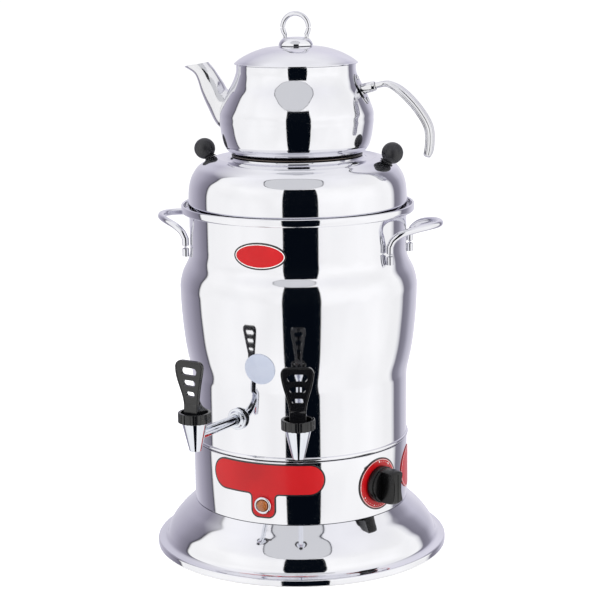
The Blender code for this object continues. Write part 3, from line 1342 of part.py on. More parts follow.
def make_bracket(materials):
    """Bracket on the pot's wall: a riveted plate with a boss that holds the handle's root."""
    root = pot_point(HANDLE_SHARES[0][0][0], HANDLE_SHARES[0][0][1], HANDLE_REACH)
    ahead = (BOSS_REACH - root.x) / math.cos(BOSS_TILT)
    end = (BOSS_REACH, 0.0, root.z + (BOSS_REACH - root.x) * math.tan(BOSS_TILT))
    lean = (0.0, QUARTER_TURN - BOSS_TILT, 0.0)
    boss = turned("bracket_boss", rod_outline(BOSS_RADIUS, -BOSS_LENGTH, 0.0), steps=SMALL_STEPS)
    bore = hole_cutter("bracket_bore", HANDLE_ROOT_RADIUS + REST_GAP, -ahead - REST_GAP, OVERRUN)
    for item in (boss, bore):
        item.rotation_euler = lean
        item.location = end
    bracket = wrapped_plate(
        "handle_bracket", pot_wall()[:-1], QUARTER_TURN, POT_FLOOR + POT_HEIGHT * BRACKET_HEIGHT_SHARE,
        ellipse(BRACKET_HALF_WIDTH, BRACKET_HALF_HEIGHT, SPOUT_SIDES), BRACKET_THICKNESS)
    cut(boss, pot_clearance("bracket_clearance", REST_GAP + BRACKET_THICKNESS / 2))
    cut(bracket, boss, "UNION")
    cut(bracket, bore)
    dress(bracket, materials["polished_steel"])
    head = REST_GAP * 2 + BRACKET_THICKNESS
    rivet = [
        (0.0, head + RIVET_HEAD_HEIGHT), (RIVET_HEAD_RADIUS / 2, head + RIVET_HEAD_HEIGHT),
        (RIVET_HEAD_RADIUS, head), (RIVET_RADIUS, head), (RIVET_RADIUS, head - RIVET_LENGTH),
        (0.0, head - RIVET_LENGTH),
    ]
    for name, level in rivet_places():
        hole = hole_cutter(
            f"bracket_rivet_hole_{name}", RIVET_RADIUS + REST_GAP, 0.0, OVERRUN, steps=PIN_STEPS)
        cut(bracket, rivet_pose(hole, level))
        item = turned(f"handle_rivet_{name}", rivet, steps=PIN_STEPS)
        dress(rivet_pose(item, level), materials["plain_steel"])


def make_lid(materials):
    """Lid of the teapot, with the plug that sits in the pot's mouth."""
    outer = [(LID_HOLE_RADIUS, LID_TOP)] + share_outline(LID_SHARES, LID_RADIUS, LID_BOTTOM, LID_HEIGHT)
    skin = offset_outline(outer, SHEET)[:LID_SKIN_ROWS + 1]
    plug = LID_RADIUS - LID_PLUG_INSET
    low = LID_BOTTOM - LID_PLUG_DEPTH
    foot = [
        (plug, LID_BOTTOM), (plug, low), (plug - SHEET, low),
        (plug - SHEET, LID_BOTTOM + LID_HEIGHT * LID_PLUG_TOP_SHARE),
    ]
    lid = turned("teapot_lid", outer + foot + skin[::-1], closed=True)
    dress(lid, materials["polished_steel"])


def make_finial(materials):
    """Finial of the teapot lid, its ring and the screw that holds it."""
    outline = share_outline(FINIAL_SHARES, FINIAL_RADIUS, FINIAL_BOTTOM, FINIAL_HEIGHT)
    finial = turned("lid_finial", outline, steps=CONE_STEPS)
    bore = hole_cutter(
        "finial_screw_bore", LID_SCREW_RADIUS + REST_GAP, FINIAL_BOTTOM - OVERRUN,
        FINIAL_BOTTOM + LID_SCREW_BITE + REST_GAP)
    cut(finial, bore)
    foot = FINIAL_TOP - RING_LEG_DEPTH
    for side, sign in (("left", -1), ("right", 1)):
        socket = hole_cutter(
            f"finial_ring_bore_{side}", RING_WIRE_RADIUS + REST_GAP, foot - REST_GAP, FINIAL_TOP + OVERRUN)
        socket.location = (sign * RING_LEG_SPREAD, 0.0, 0.0)
        cut(finial, socket)
    dress(finial, materials["polished_steel"])
    centre = FINIAL_TOP + RING_LIFT
    join = math.acos(RING_LEG_SPREAD / RING_RADIUS)
    loop = arc((0.0, centre), RING_RADIUS, -join, math.pi + join, RING_STEPS)
    route = [(RING_LEG_SPREAD, foot)] + loop + [(-RING_LEG_SPREAD, foot)]
    ring = rod("lid_ring", [Vector((across, 0.0, up)) for across, up in route], RING_WIRE_RADIUS)
    dress(ring, materials["polished_steel"])
    seat = LID_TOP - SHEET - REST_GAP
    screw = [
        (0.0, FINIAL_BOTTOM + LID_SCREW_BITE), (LID_SCREW_RADIUS, FINIAL_BOTTOM + LID_SCREW_BITE),
        (LID_SCREW_RADIUS, seat), (LID_SCREW_HEAD_RADIUS, seat),
        (LID_SCREW_HEAD_RADIUS, seat - LID_SCREW_HEAD_HEIGHT), (0.0, seat - LID_SCREW_HEAD_HEIGHT),
    ]
    dress(turned("lid_screw", screw, steps=SMALL_STEPS), materials["plain_steel"])


def main():
    """Build the whole samovar."""
    clear_scene()
    materials = shared_materials()
    make_skirt(materials)
    make_cover(materials)
    make_pads(materials)
    make_band(materials)
    make_tank(materials)
    make_tie(materials)
    make_element(materials)
    make_terminal(materials)
    make_gland(materials)
    make_labels(materials)
    make_lamp(materials)
    make_thermostat(materials)
    make_side_handles(materials)
    make_taps(materials)
    make_dome(materials)
    make_ball_knobs(materials)
    make_pot_body(materials)
    make_pot_base(materials)
    make_spout(materials)
    make_pot_handle(materials)
    make_bracket(materials)
    make_lid(materials)
    make_finial(materials)


main()
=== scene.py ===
"""Looks of the samovar: smooth shells, taps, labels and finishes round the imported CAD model.

Metres, +Z up, in the CAD model's own frame. The front faces -Y. Angles are measured round Z from
the front towards +X, as in the CAD source.
"""

import logging
import math
from collections.abc import Callable
from dataclasses import dataclass
from enum import Enum

import bmesh
import bpy
from mathutils import Matrix, Quaternion, Vector


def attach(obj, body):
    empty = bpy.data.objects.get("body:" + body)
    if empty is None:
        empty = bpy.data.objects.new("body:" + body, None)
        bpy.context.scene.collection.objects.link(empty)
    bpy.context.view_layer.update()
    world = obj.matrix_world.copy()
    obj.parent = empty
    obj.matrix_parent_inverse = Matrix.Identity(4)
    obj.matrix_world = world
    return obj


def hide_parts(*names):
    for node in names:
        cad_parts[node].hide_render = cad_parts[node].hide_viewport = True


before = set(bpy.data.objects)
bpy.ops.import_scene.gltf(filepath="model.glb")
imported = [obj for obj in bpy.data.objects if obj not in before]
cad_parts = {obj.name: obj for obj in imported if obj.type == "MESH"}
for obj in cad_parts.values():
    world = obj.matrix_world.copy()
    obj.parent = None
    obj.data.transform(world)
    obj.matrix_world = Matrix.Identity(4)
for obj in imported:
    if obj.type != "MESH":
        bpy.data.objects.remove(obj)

LOG = logging.getLogger("samovar")
MM = 0.001
TAU = math.tau
QUARTER = math.pi / 2
# Vertices nearer than this are merged
WELD = 0.000002
# Size of the plane that a drawn line grows out of
SEED_SIZE = 0.002
# Steps round a wide turned piece and round a small one
ROUND_STEPS = 144
SMALL_ROUND_STEPS = 48
# Edges with a sharper turn than this stay sharp
SMOOTH_ANGLE = math.radians(32)
# Steel sheet of the shells
SHEET = 1.0 * MM
# Clearance between pieces that touch in the real object, as in the CAD source
GAP = 0.3 * MM

Point = tuple[float, float]
Outline = list[Point]


# ---------------------------------------------------------------- modelling tools


def deselect_all() -> None:
    """Leave edit mode and deselect every object."""
    if bpy.context.object and bpy.context.object.mode != "OBJECT":
        bpy.ops.object.mode_set(mode="OBJECT")
    bpy.ops.object.select_all(action="DESELECT")


def take(item: bpy.types.Object) -> bpy.types.Object:
    """Select one object alone and make it active.

    Args:
        item: the object.

    Returns:
        The object.
    """
    deselect_all()
    item.select_set(True)
    bpy.context.view_layer.objects.active = item
    return item


def open_edit(item: bpy.types.Object) -> None:
    """Enter edit mode on one object, with everything selected by its vertices.

    Args:
        item: the object.
    """
    take(item)
    bpy.ops.object.mode_set(mode="EDIT")
    bpy.ops.mesh.select_mode(type="VERT")
    bpy.ops.mesh.select_all(action="SELECT")


def close_edit() -> bpy.types.Object:
    """Leave edit mode and give back the object that was edited."""
    bpy.ops.object.mode_set(mode="OBJECT")
    return bpy.context.object


def weld() -> None:
    """Select everything and merge doubles; works in edit mode."""
    bpy.ops.mesh.select_all(action="SELECT")
    bpy.ops.mesh.remove_doubles(threshold=WELD)


def face_outward() -> None:
    """Select everything and turn all faces outward; works in edit mode."""
    bpy.ops.mesh.select_all(action="SELECT")
    bpy.ops.mesh.normals_make_consistent(inside=False)


def extrude(run: tuple[float, float, float]) -> None:
    """Extrude the selected faces along a run; works in edit mode."""
    bpy.ops.mesh.extrude_region_move(TRANSFORM_OT_translate={"value": run})


def spin_round(steps: int, angle: float = TAU) -> None:
    """Spin everything round Z; works in edit mode."""
    bpy.ops.mesh.select_all(action="SELECT")
    bpy.ops.mesh.spin(steps=steps, angle=angle, center=(0.0, 0.0, 0.0), axis=(0.0, 0.0, 1.0))


def seed(name: str, start: Vector) -> bpy.types.Object:
    """Add a plane, merge it to one vertex at a place, and stay in edit mode.

    Args:
        name: name of the new object.
        start: place of the vertex.

    Returns:
        The object, in edit mode, with its vertex selected.
    """
    deselect_all()
    bpy.ops.mesh.primitive_plane_add(size=SEED_SIZE)
    item = bpy.context.object
    item.name = name
    bpy.ops.object.mode_set(mode="EDIT")
    bpy.ops.mesh.select_mode(type="VERT")
    bpy.ops.mesh.select_all(action="SELECT")
    bpy.ops.mesh.merge(type="CENTER")
    bpy.ops.transform.translate(value=start)
    return item


def draw(name: str, points: list[Vector]) -> bpy.types.Object:
    """Extrude one vertex along a line of points, staying in edit mode.

    Args:
        name: name of the new object.
        points: places along the line.

    Returns:
        The object, in edit mode, with the last vertex selected.
    """
    item = seed(name, points[0])
    for before, after in zip(points, points[1:]):
        bpy.ops.mesh.extrude_vertices_move(TRANSFORM_OT_translate={"value": after - before})
    return item


def filled(name: str, points: list[Vector]) -> bpy.types.Object:
    """Draw a closed loop and fill it with one face, staying in edit mode.

    Args:
        name: name of the new object.
        points: corners of the loop, each named once.

    Returns:
        The object, in edit mode, with its face selected.
    """
    item = draw(name, points + points[:1])
    weld()
    bpy.ops.mesh.edge_face_add()
    return item


def prism(name: str, points: list[Vector], run: tuple[float, float, float]) -> bpy.types.Object:
    """Fill a closed loop and extrude it into a solid.

    Args:
        name: name of the new object.
        points: corners of the loop, each named once.
        run: way and length of the extrusion.

    Returns:
        The closed solid.
    """
    filled(name, points)
    extrude(run)
    face_outward()
    return close_edit()


def smooth(item: bpy.types.Object, angle: float = SMOOTH_ANGLE) -> bpy.types.Object:
    """Shade an object smooth, except at its sharp edges.

    Args:
        item: the object.
        angle: edges with a sharper turn than this stay sharp.

    Returns:
        The object.
    """
    take(item)
    bpy.ops.object.shade_smooth_by_angle(angle=angle)
    return item


def apply_modifier(item: bpy.types.Object, kind: str, **settings: object) -> bpy.types.Object:
    """Add one modifier and apply it.

    Args:
        item: the object.
        kind: type name of the modifier.
        settings: its properties by name.

    Returns:
        The object.
    """
    take(item)
    made = item.modifiers.new(kind.title(), kind)
    for key, value in settings.items():
        setattr(made, key, value)
    bpy.ops.object.modifier_apply(modifier=made.name)
    return item


def spun(name: str, outline: Outline, steps: int = ROUND_STEPS, closed: bool = False) -> bpy.types.Object:
    """Draw an outline of (radius, height) pairs and spin it round Z.

    Args:
        name: name of the new object.
        outline: the pairs, top to bottom on the outer side.
        steps: number of steps of the turn.
        closed: True where the outline is a closed section.

    Returns:
        The turned object, smooth, at the origin.
    """
    points = [Vector((radius, 0.0, height)) for radius, height in outline]
    if closed:
        points.append(points[0])
    draw(name, points)
    spin_round(steps)
    weld()
    face_outward()
    return smooth(close_edit())


def shell(name: str, outline: Outline) -> bpy.types.Object:
    """Spin an open outline and give it the wall of a steel sheet on its inner side."""
    item = apply_modifier(spun(name, outline), "SOLIDIFY", thickness=SHEET, offset=-1.0, use_even_offset=True)
    return smooth(item)


def flow(points: Outline, steps: int = 5) -> Outline:
    """Curve through points, along a Catmull-Rom spline.

    Args:
        points: knots of the curve, with any number of coordinates.
        steps: short steps in each span.

    Returns:
        The points of the curve, both ends included.
    """
    ends = [points[0], *points, points[-1]]
    line = []
    for before, start, end, after in zip(ends, ends[1:], ends[2:], ends[3:]):
        for step in range(steps):
            share = step / steps
            weights = (
                -0.5 * share ** 3 + share ** 2 - 0.5 * share, 1.5 * share ** 3 - 2.5 * share ** 2 + 1.0,
                -1.5 * share ** 3 + 2.0 * share ** 2 + 0.5 * share, 0.5 * share ** 3 - 0.5 * share ** 2,
            )
            line.append(tuple(
                sum(weight * knot[axis] for weight, knot in zip(weights, (before, start, end, after)))
                for axis in range(len(start))
            ))
    return line + [points[-1]]


def scaled(shares: tuple[Point, ...], radius: float, base: float, height: float) -> Outline:
    """Turn shares of a radius and a height into an outline."""
    return [(radius * across, base + height * up) for across, up in shares]


def radius_on(outline: Outline, height: float) -> float:
    """Find how wide a turned wall is at a height.

    Args:
        outline: outer side of the wall, top to bottom.
        height: the height.

    Returns:
        The radius there, or the last radius below the wall.
    """
    for start, end in zip(outline, outline[1:]):
        if end[1] <= height <= start[1] and start[1] > end[1]:
            share = (start[1] - height) / (start[1] - end[1])
            return start[0] + (end[0] - start[0]) * share
    return outline[-1][0]


def arc(centre: Point, radius: float, start: float, end: float, steps: int) -> Outline:
    """Draw an arc.

    Args:
        centre: centre of the arc.
        radius: its radius.
        start: angle of the first point.
        end: angle of the last point.
        steps: number of steps between them.

    Returns:
        The points, both ends included.
    """
    return [
        (centre[0] + radius * math.cos(start + (end - start) * step / steps),
         centre[1] + radius * math.sin(start + (end - start) * step / steps))
        for step in range(steps + 1)
    ]


def round_axis(reach: float, angle: float, height: float) -> Vector:
    """Place at a distance from Z, at an angle from the front towards +X."""
    return Vector((reach * math.sin(angle), -reach * math.cos(angle), height))


def settle(item: bpy.types.Object, placing: Matrix) -> bpy.types.Object:
    """Put a placing into an object's mesh, so the object itself stays at the origin.

    Args:
        item: the object.
        placing: where its mesh goes.

    Returns:
        The object.
    """
    item.data.transform(placing)
    if placing.determinant() < 0:
        item.data.flip_normals()
    item.data.update()
    return item


def outward(angle: float, reach: float, height: float) -> Matrix:
    """Placing whose Z points out of the urn at an angle, with X round it and Y up."""
    turn = Matrix.Rotation(angle, 4, "Z")
    return turn @ Matrix.Translation((0.0, -reach, height)) @ Matrix.Rotation(QUARTER, 4, "X")


def tube(name: str, route: list[Vector], radius: float, bevel_steps: int = 8) -> bpy.types.Object:
    """Round rod along a route: a path with a round bevel, turned into a mesh.

    Args:
        name: name of the new object.
        route: points of the centre line.
        radius: radius of the rod.
        bevel_steps: roundness of the bevel.

    Returns:
        The rod as a mesh with closed ends.
    """
    deselect_all()
    bpy.ops.curve.primitive_nurbs_path_add()
    item = bpy.context.object
    item.name = name
    data = item.data
    data.splines.clear()
    line = data.splines.new("POLY")
    line.points.add(len(route) - 1)
    for knot, place in zip(line.points, route):
        knot.co = (*place, 1.0)
        knot.radius = 1.0
    data.dimensions = "3D"
    data.twist_mode = "Z_UP"
    data.bevel_depth = radius
    data.bevel_resolution = bevel_steps
    data.use_fill_caps = True
    bpy.ops.object.convert(target="MESH")
    open_edit(bpy.context.object)
    weld()
    face_outward()
    return smooth(close_edit())


def lofted(name: str, rings: list[list[Vector]], capped: bool = True) -> bpy.types.Object:
    """Extrude a circle once for each ring, then bring every ring to its shape.

    Args:
        name: name of the new object.
        rings: rings of equally many points, in order along the piece.
        capped: True for closed ends, False for an open tube.

    Returns:
        The object, smooth and at the origin.
    """
    count = len(rings[0])
    deselect_all()
    bpy.ops.mesh.primitive_circle_add(
        vertices=count, radius=1.0, fill_type="NGON" if capped else "NOTHING")
    item = bpy.context.object
    item.name = name
    open_edit(item)
    for _ in rings[1:]:
        extrude((0.0, 0.0, 1.0))
    close_edit()
    for vertex in item.data.vertices:
        turn = math.atan2(vertex.co.y, vertex.co.x) / TAU * count
        vertex.co = rings[round(vertex.co.z)][round(turn) % count]
    open_edit(item)
    face_outward()
    return smooth(close_edit())


def join(name: str, items: list[bpy.types.Object]) -> bpy.types.Object:
    """Join several objects into one mesh.

    Args:
        name: name of the joined object.
        items: the objects.

    Returns:
        The joined object.
    """
    take(items[0])
    for item in items[1:]:
        item.select_set(True)
    bpy.ops.object.join()
    bpy.context.object.name = name
    return bpy.context.object


def carve(item: bpy.types.Object, tool: bpy.types.Object, operation: str = "DIFFERENCE") -> bpy.types.Object:
    """Cut a tool out of an object, or unite both, and delete the tool.

    Args:
        item: the object.
        tool: the solid that cuts it or is added to it.
        operation: DIFFERENCE or UNION.

    Returns:
        The object.
    """
    apply_modifier(item, "BOOLEAN", object=tool, operation=operation, solver="EXACT")
    take(tool)
    bpy.ops.object.delete()
    return smooth(item)


# ---------------------------------------------------------------- finishes


def linear(colour: str) -> tuple[float, float, float, float]:
    """Turn a colour into what a socket takes.

    Args:
        colour: sRGB colour as hex digits after a hash sign.

    Returns:
        The colour as linear red, green, blue and alpha.
    """
    channels = []
    for start in (1, 3, 5):
        value = int(colour[start:start + 2], 16) / 255
        channels.append(value / 12.92 if value <= 0.04045 else ((value + 0.055) / 1.055) ** 2.4)
    return (*channels, 1.0)


def add_node(
    tree: bpy.types.NodeTree, kind: str, settings: dict | None = None,
    inputs: dict | None = None, links: dict | None = None,
) -> bpy.types.Node:
    """Add one shader node.

    Args:
        tree: the material's node tree.
        kind: type name of the node.
        settings: properties of the node.
        inputs: constant values by input name or index.
        links: sockets to link, by input name or index.

    Returns:
        The new node.
    """
    node = tree.nodes.new(kind)
    for key, value in (settings or {}).items():
        setattr(node, key, value)
    for key, value in (inputs or {}).items():
        node.inputs[key].default_value = value
    for key, socket in (links or {}).items():
        tree.links.new(socket, node.inputs[key])
    return node


def bare_tree(owner: bpy.types.Material | bpy.types.World) -> bpy.types.NodeTree:
    """Switch on the nodes of a material or a world, and empty its tree.

    Args:
        owner: the material or the world.

    Returns:
        The empty tree.
    """
    owner.use_nodes = True
    owner.node_tree.nodes.clear()
    return owner.node_tree


class Grain(Enum):
    """How the surface was worked, which gives the direction of its fine marks."""

    SPUN = "spun"
    CAST = "cast"
    MOULDED = "moulded"
    PRINTED = "printed"


# Stretch of the grain's pattern along X, Y and Z: only spun metal has marks that run round the axis
GRAIN_STRETCH = {grain: (1.0, 1.0, 1.0) for grain in Grain} | {Grain.SPUN: (0.06, 0.06, 1.0)}
# Painted shade: dark grey laid into grooves and narrow recesses, where shade falls
GROOVE_SHADE = "#2A2A30"


@dataclass(frozen=True)
class Finish:
    """One real finish: its colours, its gloss and the size of its marks.

    The fine marks are grain_mm apart. Real buffing lines, moulding grain and printing are finer than
    0.1 mm and wouldn't show, so they are drawn as coarse as they need to. The two tones drift into
    each other over cloud_mm, and groove_shade_mm is the width of a groove that gets painted shade.
    """

    name: str
    slot: str
    colour: str
    worn: str
    grain: Grain
    grain_mm: float
    roughness: float
    rougher: float
    bump: float = 0.02
    bump_mm: float = 0.02
    metallic: float = 0.0
    coat: float = 0.0
    ior: float | None = None
    cloud_mm: float = 60.0
    groove_shade_mm: float = 0.0

    def tone(self, tree: bpy.types.NodeTree, place: bpy.types.NodeSocket) -> bpy.types.NodeSocket:
        """Let the colour drift between both tones, and paint shade into grooves.

        Args:
            tree: the material's node tree.
            place: coordinates of the pattern.

        Returns:
            The colour.
        """
        cloud = add_node(
            tree, "ShaderNodeTexNoise",
            inputs={"Scale": 1.0 / (self.cloud_mm * MM), "Detail": 4.0, "Roughness": 0.6},
            links={"Vector": place})
        tone = add_node(
            tree, "ShaderNodeMix", {"data_type": "RGBA"},
            {"A": linear(self.colour), "B": linear(self.worn)}, {"Factor": cloud.outputs["Fac"]})
        # Painted shade: ambient occlusion darkens grooves and recesses towards a dark grey
        if self.groove_shade_mm:
            open_air = add_node(tree, "ShaderNodeAmbientOcclusion", inputs={"Distance": self.groove_shade_mm * MM})
            unshaded = add_node(
                tree, "ShaderNodeMapRange", inputs={"From Min": 0.5, "From Max": 0.9},
                links={"Value": open_air.outputs["AO"]})
            tone = add_node(
                tree, "ShaderNodeMix", {"data_type": "RGBA"}, {"A": linear(GROOVE_SHADE)},
                {"Factor": unshaded.outputs["Result"], "B": tone.outputs["Result"]})
        return tone.outputs["Result"]

    def material(self) -> bpy.types.Material:
        """Build the material, once.

        Returns:
            The material, the same one at every call.
        """
        found = bpy.data.materials.get(self.name)
        if found:
            return found
        made = bpy.data.materials.new(self.name)
        tree = bare_tree(made)
        place = add_node(tree, "ShaderNodeTexCoord").outputs["Object"]
        stretched = add_node(
            tree, "ShaderNodeMapping", inputs={"Scale": GRAIN_STRETCH[self.grain]}, links={"Vector": place})
        marks = add_node(
            tree, "ShaderNodeTexNoise",
            inputs={"Scale": 1.0 / (self.grain_mm * MM), "Detail": 3.0, "Roughness": 0.55},
            links={"Vector": stretched.outputs["Vector"]})
        gloss = add_node(
            tree, "ShaderNodeMapRange",
            inputs={"To Min": self.roughness, "To Max": self.rougher}, links={"Value": marks.outputs["Fac"]})
        relief = add_node(
            tree, "ShaderNodeBump", inputs={"Strength": self.bump, "Distance": self.bump_mm * MM},
            links={"Height": marks.outputs["Fac"]})
        shader = add_node(
            tree, "ShaderNodeBsdfPrincipled",
            inputs={"Metallic": self.metallic, "Coat Weight": self.coat},
            links={"Base Color": self.tone(tree, place), "Roughness": gloss.outputs["Result"],
                   "Normal": relief.outputs["Normal"]})
        if self.ior:
            shader.inputs["IOR"].default_value = self.ior
        add_node(tree, "ShaderNodeOutputMaterial", links={"Surface": shader.outputs["BSDF"]})
        return made


# Mirror-polished stainless steel: nearly white, with hair-fine marks from the buffing wheel
MIRROR_STEEL = Finish(
    "stainless_mirror_buffed", "polished_steel", "#EDEDF1", "#E4E4EA", Grain.SPUN, 0.9, 0.035, 0.075,
    bump=0.012, metallic=1.0, cloud_mm=90.0)
# Drawn stainless rod, buffed by hand: as bright, with marks the same in every direction
BUFFED_ROD = Finish(
    "stainless_rod_buffed", "polished_steel", "#E9E9EE", "#DADAE2", Grain.CAST, 1.1, 0.05, 0.11,
    bump=0.015, metallic=1.0, cloud_mm=25.0)
# Bent strap and drawn spout, buffed by hand: softer than the turned shells, with painted shade in grooves
BUFFED_STRAP = Finish(
    "stainless_strap_buffed", "polished_steel", "#E9E9EC", "#DCDCE1", Grain.CAST, 1.1, 0.10, 0.17,
    bump=0.015, metallic=1.0, cloud_mm=25.0, groove_shade_mm=1.6)
# Inner side of deep-drawn sheet: satin, where the buffing wheel doesn't reach
SATIN_STEEL = Finish(
    "stainless_satin_drawn", "plain_steel", "#C9CACF", "#B4B5BC", Grain.SPUN, 1.2, 0.24, 0.36,
    bump=0.05, metallic=1.0, cloud_mm=40.0)
# Chrome plate on cast brass: a touch bluer than steel, with a soft casting ripple
CHROME_PLATE = Finish(
    "brass_chrome_plated", "chromed_brass", "#E6E8EE", "#D5D8E2", Grain.CAST, 2.6, 0.05, 0.10,
    bump=0.03, bump_mm=0.04, metallic=1.0, cloud_mm=14.0)
# Zinc-plated steel of bolts, pins and inner plates: dull and slightly warm
ZINC_STEEL = Finish(
    "steel_zinc_plated", "plain_steel", "#B9BAB8", "#9FA1A2", Grain.CAST, 0.8, 0.30, 0.46,
    bump=0.08, metallic=1.0, cloud_mm=9.0)
# Edge of the teapot's heat-spreading disc: painted shade, nearly black steel standing in for the dark gaps
# between pot and dome
DISC_EDGE_SHADE = Finish(
    "stainless_edge_painted_shade", "polished_steel", "#17161A", "#242226", Grain.SPUN, 0.8, 0.26, 0.40,
    bump=0.05, metallic=1.0, cloud_mm=12.0)
# Aluminium core of the same disc, showing as a thin dull line round it
ALUMINIUM_CORE = Finish(
    "aluminium_core_dull", "polished_steel", "#857A72", "#6E655F", Grain.SPUN, 0.8, 0.36, 0.50,
    bump=0.06, metallic=1.0, cloud_mm=8.0)
# Turned brass nuts: yellow, with a trace of tarnish
TURNED_BRASS = Finish(
    "brass_turned", "brass", "#D9B25C", "#B98E3E", Grain.SPUN, 0.7, 0.20, 0.34,
    bump=0.05, metallic=1.0, cloud_mm=8.0)
# Phenolic moulding of the levers and the bonnets: deep black and glossy
PHENOLIC = Finish(
    "phenolic_moulded_gloss", "black_plastic", "#0A0A0C", "#131316", Grain.MOULDED, 1.3, 0.09, 0.17,
    bump=0.04, ior=1.57, cloud_mm=16.0)
# Moulded thermoplastic of the dial knob: black all through, with an eggshell gloss
DIAL_PLASTIC = Finish(
    "thermoplastic_moulded_black", "black_plastic", "#050506", "#0B0B0D", Grain.MOULDED, 0.9, 0.20, 0.30,
    bump=0.05, ior=1.43, cloud_mm=14.0)
# Phenolic balls of the lid, left matt from the mould: dark grey with a broad soft gleam
PHENOLIC_MATT = Finish(
    "phenolic_moulded_matt", "black_plastic", "#17171B", "#212126", Grain.MOULDED, 0.7, 0.36, 0.48,
    bump=0.12, ior=1.55, cloud_mm=12.0)
# Nitrile rubber of pads, gaskets and seat plugs: dull and faintly grey
NITRILE = Finish(
    "nitrile_moulded", "black_rubber", "#1B1B1C", "#29292B", Grain.MOULDED, 0.6, 0.60, 0.78,
    bump=0.18, ior=1.52, cloud_mm=8.0)
# Screen-printed red on vinyl film under a clear coat: even colour with a thin gleam
RED_VINYL = Finish(
    "vinyl_printed_red", "red_label", "#C70712", "#B4060F", Grain.PRINTED, 0.8, 0.28, 0.38,
    bump=0.03, coat=0.1, ior=1.40, cloud_mm=30.0)
# Screen-printed black border on the same film: a little glossier than the red
BLACK_VINYL = Finish(
    "vinyl_printed_black", "red_label", "#121215", "#1E1E22", Grain.PRINTED, 0.8, 0.24, 0.34,
    bump=0.03, coat=0.35, ior=1.5, cloud_mm=20.0)
# Screen-printed white ink of borders and dial marks: flat and slightly warm
WHITE_INK = Finish(
    "vinyl_printed_white", "red_label", "#F2F1EF", "#E4E2E0", Grain.PRINTED, 0.6, 0.34, 0.46,
    bump=0.04, ior=1.5, cloud_mm=10.0)
# Coated paper of the round sticker, printed pale: a bluish grey with a soft gleam
PALE_PAPER = Finish(
    "paper_coated_pale", "pale_label", "#C9CFDD", "#B4BCD0", Grain.PRINTED, 0.5, 0.34, 0.48,
    bump=0.05, coat=0.2, ior=1.5, cloud_mm=12.0)
# Moulded amber polycarbonate of the pilot lamp's lens: deep colour under a wet gloss
AMBER_LENS = Finish(
    "polycarbonate_amber", "amber_lens", "#B8681E", "#743914", Grain.MOULDED, 1.4, 0.08, 0.16,
    bump=0.10, bump_mm=0.10, coat=0.6, ior=1.58, cloud_mm=3.5)


def dress(item: bpy.types.Object, body: str, nodes: tuple[str, ...], *finishes: Finish) -> bpy.types.Object:
    """Give a piece its finishes and say which body it rides on and which CAD nodes it stands for.

    Args:
        item: the piece.
        body: name of the CAD body.
        nodes: names of the CAD nodes that it replaces.
        finishes: the finishes, in the order of the mesh's material slots.

    Returns:
        The piece.
    """
    indexes = [face.material_index for face in item.data.polygons]
    item.data.materials.clear()
    for finish in finishes:
        item.data.materials.append(finish.material())
    item.data.polygons.foreach_set("material_index", indexes)
    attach(item, body)
    if nodes:
        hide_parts(*nodes)
    LOG.info("%s rides on %s, %d faces", item.name, body, len(item.data.polygons))
    return item


def paint(item: bpy.types.Object, index: int, wanted: Callable[[Vector, Vector], bool]) -> None:
    """Give some faces another material slot.

    Args:
        item: the piece.
        index: the slot.
        wanted: test of a face's centre and normal.
    """
    for face in item.data.polygons:
        if wanted(face.center, face.normal):
            face.material_index = index


def faces_axis(centre: Vector, normal: Vector) -> bool:
    """Tell whether a face of a turned wall looks towards Z."""
    return normal.x * centre.x + normal.y * centre.y < -0.2 * math.hypot(centre.x, centre.y)


# ---------------------------------------------------------------- studio


